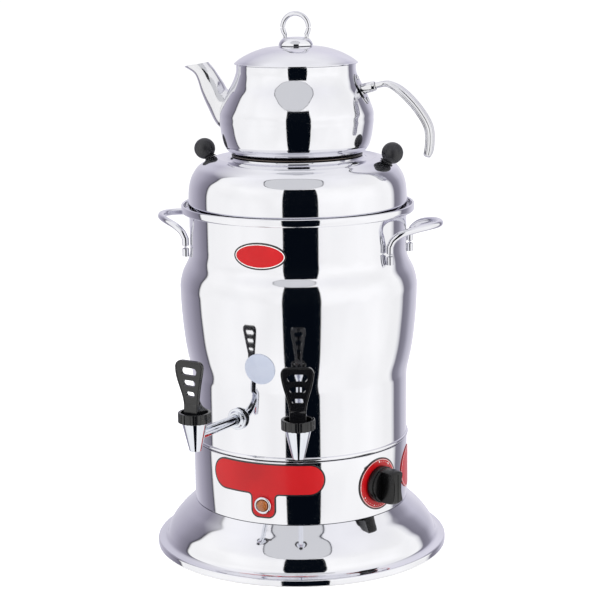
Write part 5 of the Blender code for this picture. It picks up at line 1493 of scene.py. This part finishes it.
@dataclass
class DialKnob:
    """Thermostat knob: a stepped round base and a waisted grip bar, rounded over, with a pointer line."""

    labels: Labels
    radius: float = 20.5 * MM
    base_height: float = 10.0 * MM
    step_inset: float = 1.6 * MM
    step_height: float = 3.0 * MM
    height: float = 27.3 * MM
    grip: float = 19.6 * MM
    end_half: float = 9.0 * MM
    waist_half: float = 6.5 * MM
    grip_foot: float = 4.5 * MM
    # Lift of each step of the rounded crown, and how much narrower and shorter it makes the bar
    crown: tuple[tuple[float, float, float], ...] = (
        (3.0 * MM, 0.99, 0.99), (2.4 * MM, 0.985, 0.975), (1.6 * MM, 0.98, 0.965), (1.0 * MM, 0.97, 0.955),
        (0.6 * MM, 0.95, 0.94), (0.4 * MM, 0.93, 0.94),
    )
    line_width: float = 1.0 * MM
    line_depth: float = 0.6 * MM
    # Length of the pointer line's cut as a share of half of the grip's length
    line_share: float = 1.6

    def grip_plan(self) -> Outline:
        """Plan of the grip, with round ends and a drawn-in waist.

        Returns:
            The plan's points, each named once.
        """
        spread = math.asin(self.end_half / self.grip)
        tip = math.sqrt(self.grip ** 2 - self.end_half ** 2)
        plan = arc((0.0, 0.0), self.grip, QUARTER - spread, QUARTER + spread, 12)
        swell = self.end_half - self.waist_half
        steps = 20
        for step in range(1, steps):
            share = 1 - 2 * step / steps
            plan.append((-self.waist_half - swell * share ** 2, tip * share))
        return plan + [(-across, -along) for across, along in plan]

    def grip_bar(self) -> bpy.types.Object:
        """Raise the grip from its plan and cut the pointer line.

        Returns:
            The closed solid, upright on the base's axis.
        """
        filled("dial_knob_grip", [Vector((across, up, self.grip_foot)) for across, up in self.grip_plan()])
        straight = self.height - self.grip_foot - sum(lift for lift, _, _ in self.crown)
        for lift, across, along in ((straight, 1.0, 1.0), *self.crown):
            extrude((0.0, 0.0, lift))
            bpy.ops.transform.resize(value=(across, along, 1.0))
        face_outward()
        bar = close_edit()
        deselect_all()
        bpy.ops.mesh.primitive_cube_add(
            size=1.0, location=(0.0, 0.0, self.height),
            scale=(self.line_width, self.grip * self.line_share, self.line_depth * 2))
        return carve(bar, bpy.context.object)

    def build(self) -> None:
        """Build the base and the grip as one moulding."""
        ledge = self.base_height - self.step_height
        inner = self.radius - self.step_inset
        edge = 0.8 * MM
        outline = [(0.0, self.base_height)]
        outline += arc((inner - edge, self.base_height - edge), edge, QUARTER, 0.0, 4)
        outline += [(inner, ledge)]
        outline += arc((self.radius - edge, ledge - edge), edge, QUARTER, 0.0, 4)
        outline += [(self.radius, 0.0), (0.0, 0.0)]
        knob = spun("dial_knob_moulding", outline, SMALL_ROUND_STEPS * 2)
        carve(knob, self.grip_bar(), "UNION")
        reach = self.labels.shell.band_radius + (GAP * 2 + self.labels.thickness)
        settle(knob, outward(self.labels.dial_angle, reach, self.labels.dial_height))
        dress(knob, "knob", ("thermostat_knob",), DIAL_PLASTIC)


@dataclass
class SideHandles:
    """Bent rod handles on the left and the right of the tank."""

    shell: UrnShell
    rod: float = 3.8 * MM
    leg_angle: float = math.radians(21.3)
    leg_low: float = 337.0 * MM
    bend: float = 355.0 * MM
    apex: float = 163.0 * MM
    apex_height: float = 377.0 * MM
    shares: tuple[tuple[float, float, float], ...] = (
        (0.02, 1.0, 0.16), (0.10, 0.995, 0.45), (0.30, 0.94, 0.73), (0.60, 0.74, 0.90),
        (0.83, 0.48, 0.97), (0.96, 0.22, 0.995),
    )

    def build(self) -> None:
        """Build both handles along the CAD model's own route."""
        reach = radius_on(self.shell.tank_wall(), self.leg_low) + self.rod + GAP
        out = reach * math.cos(self.leg_angle)
        spread = reach * math.sin(self.leg_angle)
        rise = self.apex_height - self.bend
        leg = [(out, spread, self.leg_low), (out, spread, self.bend)]
        leg += [(out + (self.apex - out) * share[0], spread * share[1], self.bend + rise * share[2])
                for share in self.shares]
        whole = leg + [(self.apex, 0.0, self.apex_height)] + [(x, -y, z) for x, y, z in leg[::-1]]
        for side, sign in (("left", -1), ("right", 1)):
            route = [Vector((sign * x, y, z)) for x, y, z in flow(whole, 6)]
            item = tube(f"side_handle_{side}_rod", route, self.rod, 10)
            dress(item, "urn", (f"side_handle_{side}",), BUFFED_ROD)


# ---------------------------------------------------------------- taps

# How far round the urn each tap stands from the front
TAP_ANGLE = math.radians(16.4)


@dataclass
class Tap:
    """One tap: cone and stem, collar, ribbed bonnet and slotted lever."""

    side: str
    angle: float
    shell: UrnShell
    reach: float = 202.5 * MM
    stem_height: float = 172.0 * MM
    stem: float = 5.9 * MM
    stem_bore: float = 3.8 * MM
    stem_inner: float = 110.0 * MM
    cone_top: float = 188.0 * MM
    cone_low: float = 155.5 * MM
    cone_top_radius: float = 14.2 * MM
    cone_low_radius: float = 6.25 * MM
    cone_wall: float = 1.7 * MM
    collar: float = 12.0 * MM
    collar_length: float = 5.0 * MM
    nose: float = 8.5 * MM
    gasket: float = 1.8 * MM
    bonnet: float = 17.75 * MM
    cup: float = 14.5 * MM
    bonnet_height: float = 10.3 * MM
    rib_steps: int = 6
    rib_depth: float = 0.75 * MM
    rib_smooth: float = math.radians(24)
    pivot_forward: float = 6.0 * MM
    pivot_height: float = 193.5 * MM
    lever_top: float = 255.0 * MM
    foot_width: float = 17.6 * MM
    top_width: float = 35.0 * MM
    flare_start: float = 0.20
    flare_length: float = 0.73
    thickness: float = 5.0 * MM
    drop: float = 2.0 * MM
    corner: float = 7.4 * MM
    sway: float = 1.5 * MM
    rim: float = 1.5 * MM
    recess: float = 0.55 * MM
    recess_start: float = 0.24
    heel_depth: float = 16.5 * MM
    heel_rise: float = 34.0 * MM
    heel_half: float = 8.8 * MM
    heel_low: float = -3.4 * MM
    heel_wall: float = 1.4 * MM
    # Even sections of the blade, and in how many parts of its height they lie
    even_sections: int = 36
    height_parts: int = 40
    # Heights of the sections of the blade's rounded top, closer together than those below
    top_shares: tuple[float, ...] = (
        0.886, 0.898, 0.910, 0.922, 0.934, 0.946, 0.957, 0.967, 0.976, 0.984, 0.990, 0.995, 0.998, 1.0)
    # Height of each slot, and half of its length and of its width as shares of the blade's width
    slots: tuple[tuple[float, float, float], ...] = (
        (0.816, 0.300, 0.114), (0.613, 0.237, 0.094), (0.415, 0.177, 0.079))
    heel_shares: tuple[Point, ...] = (
        (1.0, 0.120), (0.850, 0.235), (0.545, 0.353), (0.303, 0.530), (0.150, 0.765), (0.060, 1.0))
    hollow_shares: tuple[Point, ...] = (
        (0.915, 0.105), (0.775, 0.205), (0.485, 0.315), (0.242, 0.490), (0.085, 0.735))

    def head(self) -> Matrix:
        """Placing of what turns round the upright axis of the tap."""
        return Matrix.Rotation(self.angle, 4, "Z") @ Matrix.Translation((0.0, -self.reach, 0.0))

    def cone(self) -> None:
        """Chromed cone, open above and below, with its bored stem."""
        slope = (self.cone_top_radius - self.cone_low_radius) / (self.cone_top - self.cone_low)
        lip = 0.5 * MM
        outline = [(0.0, self.cone_top), (self.cone_top_radius, self.cone_top),
                   (self.cone_low_radius + lip * slope, self.cone_low + lip),
                   (self.cone_low_radius - lip, self.cone_low), (0.0, self.cone_low)]
        body = settle(spun(f"tap_cone_{self.side}", outline, SMALL_ROUND_STEPS * 2), self.head())
        over = 3.0 * MM
        inner = [(0.0, self.cone_top + over),
                 (self.cone_top_radius - self.cone_wall + over * slope, self.cone_top + over),
                 (self.cone_low_radius - self.cone_wall - over * slope, self.cone_low - over),
                 (0.0, self.cone_low - over)]
        cavity = settle(spun("tap_cavity", inner, SMALL_ROUND_STEPS), self.head())
        rods = []
        for radius, start in ((self.stem, self.stem_inner), (self.stem_bore, self.stem_inner - over)):
            outline = [(0.0, self.reach), (radius, self.reach), (radius, start), (0.0, start)]
            rod = spun("tap_rod", outline, SMALL_ROUND_STEPS)
            rods.append(settle(rod, outward(self.angle, 0.0, self.stem_height)))
        carve(body, rods[0], "UNION")
        carve(body, cavity)
        carve(body, rods[1])
        dress(body, "urn", (f"tap_body_{self.side}",), CHROME_PLATE)

    def fittings(self) -> None:
        """Turned collar with a groove where the stem enters the tank."""
        wall = radius_on(self.shell.tank_wall(), self.stem_height) + self.gasket + GAP
        bore = self.stem + GAP
        long = self.collar_length
        outline = [(bore, 0.0), (bore, long), (self.nose - 0.8 * MM, long)]
        outline += flow([(self.nose - 0.3 * MM, long - 0.2 * MM), (self.nose + 0.5 * MM, long * 0.72),
                         (self.nose + 1.0 * MM, long * 0.6)], 3)
        outline += [(self.nose + 1.0 * MM, long * 0.52), (self.collar - 1.0 * MM, long * 0.50)]
        outline += arc((self.collar - 0.9 * MM, long * 0.5 - 0.9 * MM), 0.9 * MM, QUARTER, 0.0, 4)
        outline += [(self.collar, 0.0)]
        item = spun(f"tap_collar_{self.side}", outline, SMALL_ROUND_STEPS, closed=True)
        settle(item, outward(self.angle, wall, self.stem_height))
        dress(item, "urn", (f"tap_rosette_{self.side}",), CHROME_PLATE)

    def bonnet_cup(self) -> None:
        """Black bonnet: a round cup with upright ribs."""
        low = self.cone_top - 0.4 * MM
        high = self.cone_top + self.bonnet_height
        under = self.cone_top + GAP
        step = under + 1.5 * MM
        web = self.cone_top - 2.8 * MM
        sole = self.cone_top - 4.3 * MM
        well = 9.5 * MM
        bush = 11.0 * MM
        bore = 2.5 * MM
        edge = 0.9 * MM
        outline = arc((self.bonnet - edge, high - edge), edge, 0.0, QUARTER, 4)
        outline += [(self.cup + 0.5 * MM, high), (self.cup, high - 0.5 * MM), (self.cup, step),
                    (well, step), (well, web), (bore, web), (bore, sole),
                    (bush, sole), (bush, under), (self.cup, under), (self.cup, low),
                    (self.bonnet - 0.4 * MM, low), (self.bonnet, low + 0.4 * MM)]
        item = spun(f"tap_bonnet_ribbed_{self.side}", outline, ROUND_STEPS, closed=True)
        for vertex in item.data.vertices:
            reach = math.hypot(vertex.co.x, vertex.co.y)
            turn = round(math.atan2(vertex.co.y, vertex.co.x) / TAU * ROUND_STEPS) % self.rib_steps
            outer = reach > self.bonnet - 0.5 * MM and low < vertex.co.z < high - 0.5 * MM
            if outer and turn < self.rib_steps / 2:
                share = (reach - self.rib_depth) / reach
                vertex.co.x *= share
                vertex.co.y *= share
        settle(smooth(item, self.rib_smooth), self.head())
        dress(item, "urn", (f"tap_bonnet_{self.side}",), PHENOLIC)

    def blade_ring(self, share: float) -> list[Vector]:
        """Section of the lever's blade, with its raised front rim.

        Args:
            share: where the section lies, as a share of the blade's height.

        Returns:
            The points of the section, in the lever's own frame.
        """
        tall = self.lever_top - self.pivot_height + self.drop
        flare = min(max((share - self.flare_start) / self.flare_length, 0.0), 1.0)
        half = (self.foot_width + (self.top_width - self.foot_width) * flare * flare * (3 - 2 * flare)) / 2
        left = tall * (1 - share)
        if left < self.corner:
            half -= self.corner - math.sqrt(max(self.corner ** 2 - (self.corner - left) ** 2, 0.0))
        deep = self.thickness / 2
        chamfer = 0.6 * MM
        if left < chamfer:
            deep -= chamfer - left
        sunk = 0.0
        if share > self.recess_start:
            sunk = self.recess * min(max((left - self.rim) / (0.5 * MM), 0.0), 1.0)
        middle = self.sway * math.sin(TAU * share)
        edge = 0.9 * MM
        section = [
            (half - self.rim - 0.5 * MM, sunk - deep), (half - self.rim, -deep), (half - edge * 0.6, -deep),
            (half - edge * 0.15, edge * 0.35 - deep), (half, edge - deep), (half, deep - edge),
            (half - edge * 0.3, deep - edge * 0.3), (half - edge, deep),
        ]
        whole = section + [(-across, through) for across, through in section[::-1]]
        return [Vector((across, middle + through, tall * share - self.drop)) for across, through in whole]

    def profile_prism(
        self, name: str, shares: tuple[Point, ...], low: float, half: float,
    ) -> bpy.types.Object:
        """Prism across the tap, whose side profile flares back from the blade.

        Args:
            name: name of the new object.
            shares: profile as shares of the heel's depth and rise.
            low: height of its underside.
            half: half of its width across the tap.

        Returns:
            The closed solid, in the lever's own frame.
        """
        curve = flow([(self.heel_depth * across, self.heel_rise * up) for across, up in shares], 4)
        profile = [(0.0, low), (curve[0][0], low)] + curve + [(0.0, curve[-1][1])]
        return prism(name, [Vector((-half, back, up)) for back, up in profile], (half * 2, 0.0, 0.0))

    def lever(self) -> None:
        """Lever: flared blade with a raised rim, three slots and a hooded heel."""
        shares = [step / self.height_parts for step in range(self.even_sections)] + list(self.top_shares)
        blade = lofted(f"tap_lever_blade_{self.side}", [self.blade_ring(share) for share in shares])
        heel = self.profile_prism("lever_heel", self.heel_shares, self.heel_low, self.heel_half)
        apply_modifier(
            heel, "BEVEL", width=0.8 * MM, segments=3, limit_method="ANGLE", angle_limit=math.radians(40))
        hollow = self.profile_prism(
            "lever_hollow", self.hollow_shares, self.heel_low - 4.0 * MM, self.heel_half - self.heel_wall)
        carve(heel, hollow)
        carve(blade, heel, "UNION")
        tall = self.lever_top - self.pivot_height
        for up, wide, high in self.slots:
            half = self.top_width * high
            end = self.top_width * wide - half
            plan = arc((end, 0.0), half, -QUARTER, QUARTER, 10)
            plan += arc((-end, 0.0), half, QUARTER, QUARTER * 3, 10)
            points = [Vector((across, -self.thickness, tall * up + rise)) for across, rise in plan]
            carve(blade, prism("lever_slot", points, (0.0, self.thickness * 2, 0.0)))
        settle(smooth(blade), Matrix.Rotation(self.angle, 4, "Z")
               @ Matrix.Translation((0.0, -self.reach - self.pivot_forward, self.pivot_height)))
        dress(blade, f"lever_{self.side}", (f"tap_lever_{self.side}",), PHENOLIC)

    def build(self) -> None:
        """Build the tap's four visible pieces."""
        self.cone()
        self.fittings()
        self.bonnet_cup()
        self.lever()


# ---------------------------------------------------------------- spout and handle of the teapot


@dataclass
class SpoutAndHandle:
    """Drawn spout, fluted strap handle and the riveted bracket that holds it."""

    pot: Teapot
    reach: float = 131.0 * MM
    root_half: float = 19.0 * MM
    # Lower and upper edge of each ring as shares of the reach and of the pot's height, and its width
    spout_shares: tuple[tuple[float, float, float, float, float], ...] = (
        (0.595, 0.2175, 0.534, 0.6850, 1.05), (0.695, 0.2886, 0.626, 0.6850, 1.0),
        (0.779, 0.4817, 0.672, 0.7764, 0.816), (0.840, 0.6545, 0.714, 0.8577, 0.658),
        (0.878, 0.8120, 0.748, 0.9238, 0.579), (0.916, 0.8933, 0.775, 0.9644, 0.553),
        (1.0, 0.9593, 0.798, 1.0, 0.526),
    )
    handle_reach: float = 152.0 * MM
    root: float = 3.25 * MM
    half_width: float = 11.0 * MM
    half_depth: float = 4.2 * MM
    flute: float = 0.9 * MM
    squareness: float = 0.6
    strap_smooth: float = math.radians(60)
    spout_smooth: float = math.radians(50)
    # Shares of the reach and of the pot's height, and how far the rod has widened into the strap
    handle_shares: tuple[tuple[float, float, float], ...] = (
        (0.558, 0.7450, 0.0), (0.638, 0.7764, 0.0), (0.668, 0.7835, 0.15), (0.697, 0.7815, 0.45),
        (0.745, 0.7520, 0.80), (0.790, 0.7050, 0.95), (0.836, 0.6443, 1.0), (0.900, 0.5400, 1.0),
        (0.957, 0.4207, 1.0), (0.988, 0.3300, 1.0), (1.0, 0.2581, 1.0), (1.002, 0.1800, 1.0),
        (1.0, 0.1057, 1.0), (0.993, 0.0400, 0.97), (0.985, 0.0020, 0.75), (0.981, -0.0150, 0.35),
    )
    boss: float = 5.6 * MM
    boss_tilt: float = math.radians(14)
    boss_reach: float = 91.0 * MM
    bracket_share: float = 0.7250
    bracket_thickness: float = 1.2 * MM
    bracket_half_width: float = 10.0 * MM
    bracket_half_height: float = 16.0 * MM
    rivet_offset: float = 11.8 * MM
    rivet_head: float = 2.7 * MM
    rivet_rise: float = 1.3 * MM
    rivet_shank: float = 1.4 * MM
    rivet_depth: float = 5.0 * MM

    def place(self, across: float, up: float, reach: float) -> Vector:
        """Point beside the pot from shares of a reach and of the pot's height."""
        return Vector((reach * across, 0.0, self.pot.floor + self.pot.height * up))

    def clearance(self, gap: float) -> bpy.types.Object:
        """Solid a little larger than the pot, which trims what meets it.

        Args:
            gap: how much larger it is.

        Returns:
            The solid.
        """
        wall = self.pot.wall()
        over = 20.0 * MM
        top = wall[0][1] + over
        outline = [(0.0, top), (wall[0][0] + gap, top)]
        outline += [(radius + gap, height) for radius, height in wall] + [(0.0, wall[-1][1])]
        return spun("pot_clearance", outline, SMALL_ROUND_STEPS * 2)

    def spout(self) -> None:
        """Tapered spout, open at its cut mouth."""
        steps = 40
        rings = []
        for low_across, low_up, high_across, high_up, wide in flow(list(self.spout_shares)):
            low = self.place(-low_across, low_up, self.reach)
            high = self.place(-high_across, high_up, self.reach)
            middle, rise = (low + high) / 2, (high - low) / 2
            half = Vector((0.0, self.root_half * wide, 0.0))
            rings.append([
                middle + rise * math.cos(TAU * step / steps) + half * math.sin(TAU * step / steps)
                for step in range(steps)
            ])
        item = lofted("teapot_spout_drawn", rings, capped=False)
        apply_modifier(item, "SOLIDIFY", thickness=SHEET, offset=-1.0)
        carve(item, self.clearance(GAP))
        dress(smooth(item, self.spout_smooth), "teapot", ("teapot_spout",), BUFFED_STRAP)

    def strap_ring(self, centre: Vector, run: Vector, full: float) -> list[Vector]:
        """Section of the handle, between a round rod and a fluted strap.

        Args:
            centre: centre of the section.
            run: way of the handle there, one unit long.
            full: 0 for the rod, 1 for the strap.

        Returns:
            The points of the section.
        """
        normal = Vector((-run.z, 0.0, run.x))
        half_width = self.root + (self.half_width - self.root) * full
        half_depth = self.root + (self.half_depth - self.root) * full
        steps = 128
        ring = []
        for step in range(steps):
            turn = TAU * step / steps
            across, through = math.cos(turn), math.sin(turn)
            flat = 1 + (1 / max(abs(across), abs(through)) - 1) * full * self.squareness
            # Three flutes along each broad face, and two along each narrow side
            groove = notch = 0.0
            if abs(across) < 0.75:
                groove = self.flute * full * math.cos(across * math.pi * 2) ** 6
            if abs(across) > 0.8:
                notch = self.flute * full * math.sin(through * math.pi * 1.25) ** 6
            ring.append(centre + Vector((0.0, half_width * across - math.copysign(notch, across), 0.0))
                        + normal * (half_depth * through * flat - math.copysign(groove, through)))
        return ring

    def handle(self) -> None:
        """Strap handle: a round root that widens into a fluted band with a free end."""
        route = [(self.place(across, up, self.handle_reach), full)
                 for across, up, full in flow(list(self.handle_shares), 4)]
        rings = []
        for index, (centre, full) in enumerate(route):
            run = route[min(index + 1, len(route) - 1)][0] - route[max(index - 1, 0)][0]
            rings.append(self.strap_ring(centre, run.normalized(), full))
        item = lofted("teapot_handle_strap", rings)
        dress(smooth(item, self.strap_smooth), "teapot", ("teapot_handle",), BUFFED_STRAP)

    def bracket(self) -> None:
        """Plate on the pot's wall with a flared boss that takes the handle's root."""
        middle = self.pot.floor + self.pot.height * self.bracket_share
        plan = ellipse(self.bracket_half_width, self.bracket_half_height, 48)
        base = plate("handle_bracket_plate", plan, (), 2.5 * MM)
        wrap(base, self.pot.wall(), QUARTER, middle, GAP, self.bracket_thickness)
        root = self.place(self.handle_shares[0][0], self.handle_shares[0][1], self.handle_reach)
        end = Vector((self.boss_reach, 0.0, root.z + (self.boss_reach - root.x) * math.tan(self.boss_tilt)))
        placing = Matrix.Translation(end) @ Matrix.Rotation(QUARTER - self.boss_tilt, 4, "Y")
        edge = 1.0 * MM
        length = 24.0 * MM
        face = self.boss - 1.4 * MM
        outline = [(0.0, 0.0), (face, 0.0)]
        outline += arc((face, -edge), edge, QUARTER, 0.0, 4)
        outline += flow([(self.boss - 0.2 * MM, -3.0 * MM), (self.boss, -6.0 * MM), (self.boss, -length)], 4)
        outline += [(0.0, -length)]
        boss = settle(spun("bracket_boss", outline, SMALL_ROUND_STEPS), placing)
        carve(boss, self.clearance(GAP + self.bracket_thickness / 2))
        carve(base, boss, "UNION")
        rod = self.root + GAP
        over, deep = 4.0 * MM, -7.0 * MM
        bore = spun("bracket_bore", [(0.0, over), (rod, over), (rod, deep), (0.0, deep)], SMALL_ROUND_STEPS)
        carve(base, settle(bore, placing))
        dress(base, "teapot", ("handle_bracket",), BUFFED_STRAP)

    def rivets(self) -> None:
        """Two domed rivets through the bracket's plate, square to the pot's wall."""
        wall = self.pot.wall()
        middle = self.pot.floor + self.pot.height * self.bracket_share
        head = GAP * 2 + self.bracket_thickness
        root = head - self.rivet_depth
        steps = 6
        for name, height in (("lower", middle - self.rivet_offset), ("upper", middle + self.rivet_offset)):
            slope = (radius_on(wall, height - MM) - radius_on(wall, height + MM)) / (2 * MM)
            outline = [
                (self.rivet_head * math.sin(QUARTER * step / steps),
                 head + self.rivet_rise * math.cos(QUARTER * step / steps))
                for step in range(steps + 1)
            ]
            outline += [(self.rivet_shank, head), (self.rivet_shank, root), (0.0, root)]
            rivet = spun(f"handle_rivet_{name}_domed", outline, SMALL_ROUND_STEPS // 2)
            settle(rivet, Matrix.Translation((radius_on(wall, height), 0.0, height))
                   @ Matrix.Rotation(QUARTER - math.atan(slope), 4, "Y"))
            dress(rivet, "teapot", (f"handle_rivet_{name}",), BUFFED_ROD)

    def build(self) -> None:
        """Build the spout, the handle, the bracket and its rivets."""
        self.spout()
        self.handle()
        self.bracket()
        self.rivets()


# ---------------------------------------------------------------- carried-over nodes

# Finish of each CAD node that stays, by the start of its name
KEPT_FINISHES = {
    "bottom_cover": ZINC_STEEL, "foot_pad": NITRILE, "tie_bolt": ZINC_STEEL, "tank_boss": ZINC_STEEL,
    "heating_element": SATIN_STEEL, "element_nut": TURNED_BRASS, "terminal_block": PHENOLIC_MATT,
    "cable_gland": PHENOLIC_MATT, "thermostat_body": ZINC_STEEL, "thermostat_shaft": ZINC_STEEL,
    "tap_locknut": TURNED_BRASS, "tap_gasket": NITRILE, "tap_seat": NITRILE, "tap_pivot_pin": ZINC_STEEL,
    "tap_spindle": ZINC_STEEL, "lid_screw": ZINC_STEEL, "handle_rivet": ZINC_STEEL,
}


def dress_kept_nodes() -> None:
    """Give every CAD node a procedural finish, also those that a piece stands for."""
    slots = {
        "polished_steel": MIRROR_STEEL, "chromed_brass": CHROME_PLATE, "plain_steel": ZINC_STEEL,
        "black_plastic": PHENOLIC, "black_rubber": NITRILE, "red_label": RED_VINYL,
        "pale_label": PALE_PAPER, "amber_lens": AMBER_LENS, "brass": TURNED_BRASS,
    }
    for name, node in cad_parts.items():
        found = [finish for start, finish in KEPT_FINISHES.items() if name.startswith(start)]
        for slot in node.material_slots:
            first = (slot.material.name if slot.material else "").split(".")[0]
            slot.material = (found[0] if found else slots.get(first, ZINC_STEEL)).material()


def main() -> None:
    """Build the stage and every sub-assembly."""
    logging.basicConfig(level=logging.INFO, format="%(message)s")
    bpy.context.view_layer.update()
    Studio().build()
    shell_of_urn = UrnShell()
    shell_of_urn.build()
    labels = Labels(shell_of_urn)
    labels.build()
    PilotLamp(labels).build()
    DialKnob(labels).build()
    SideHandles(shell_of_urn).build()
    DomeLid().build()
    pot = Teapot()
    pot.build()
    SpoutAndHandle(pot).build()
    for side, sign in (("left", -1), ("right", 1)):
        Tap(side, sign * TAP_ANGLE, shell_of_urn).build()
    dress_kept_nodes()


if __name__ == "__main__":
    main()
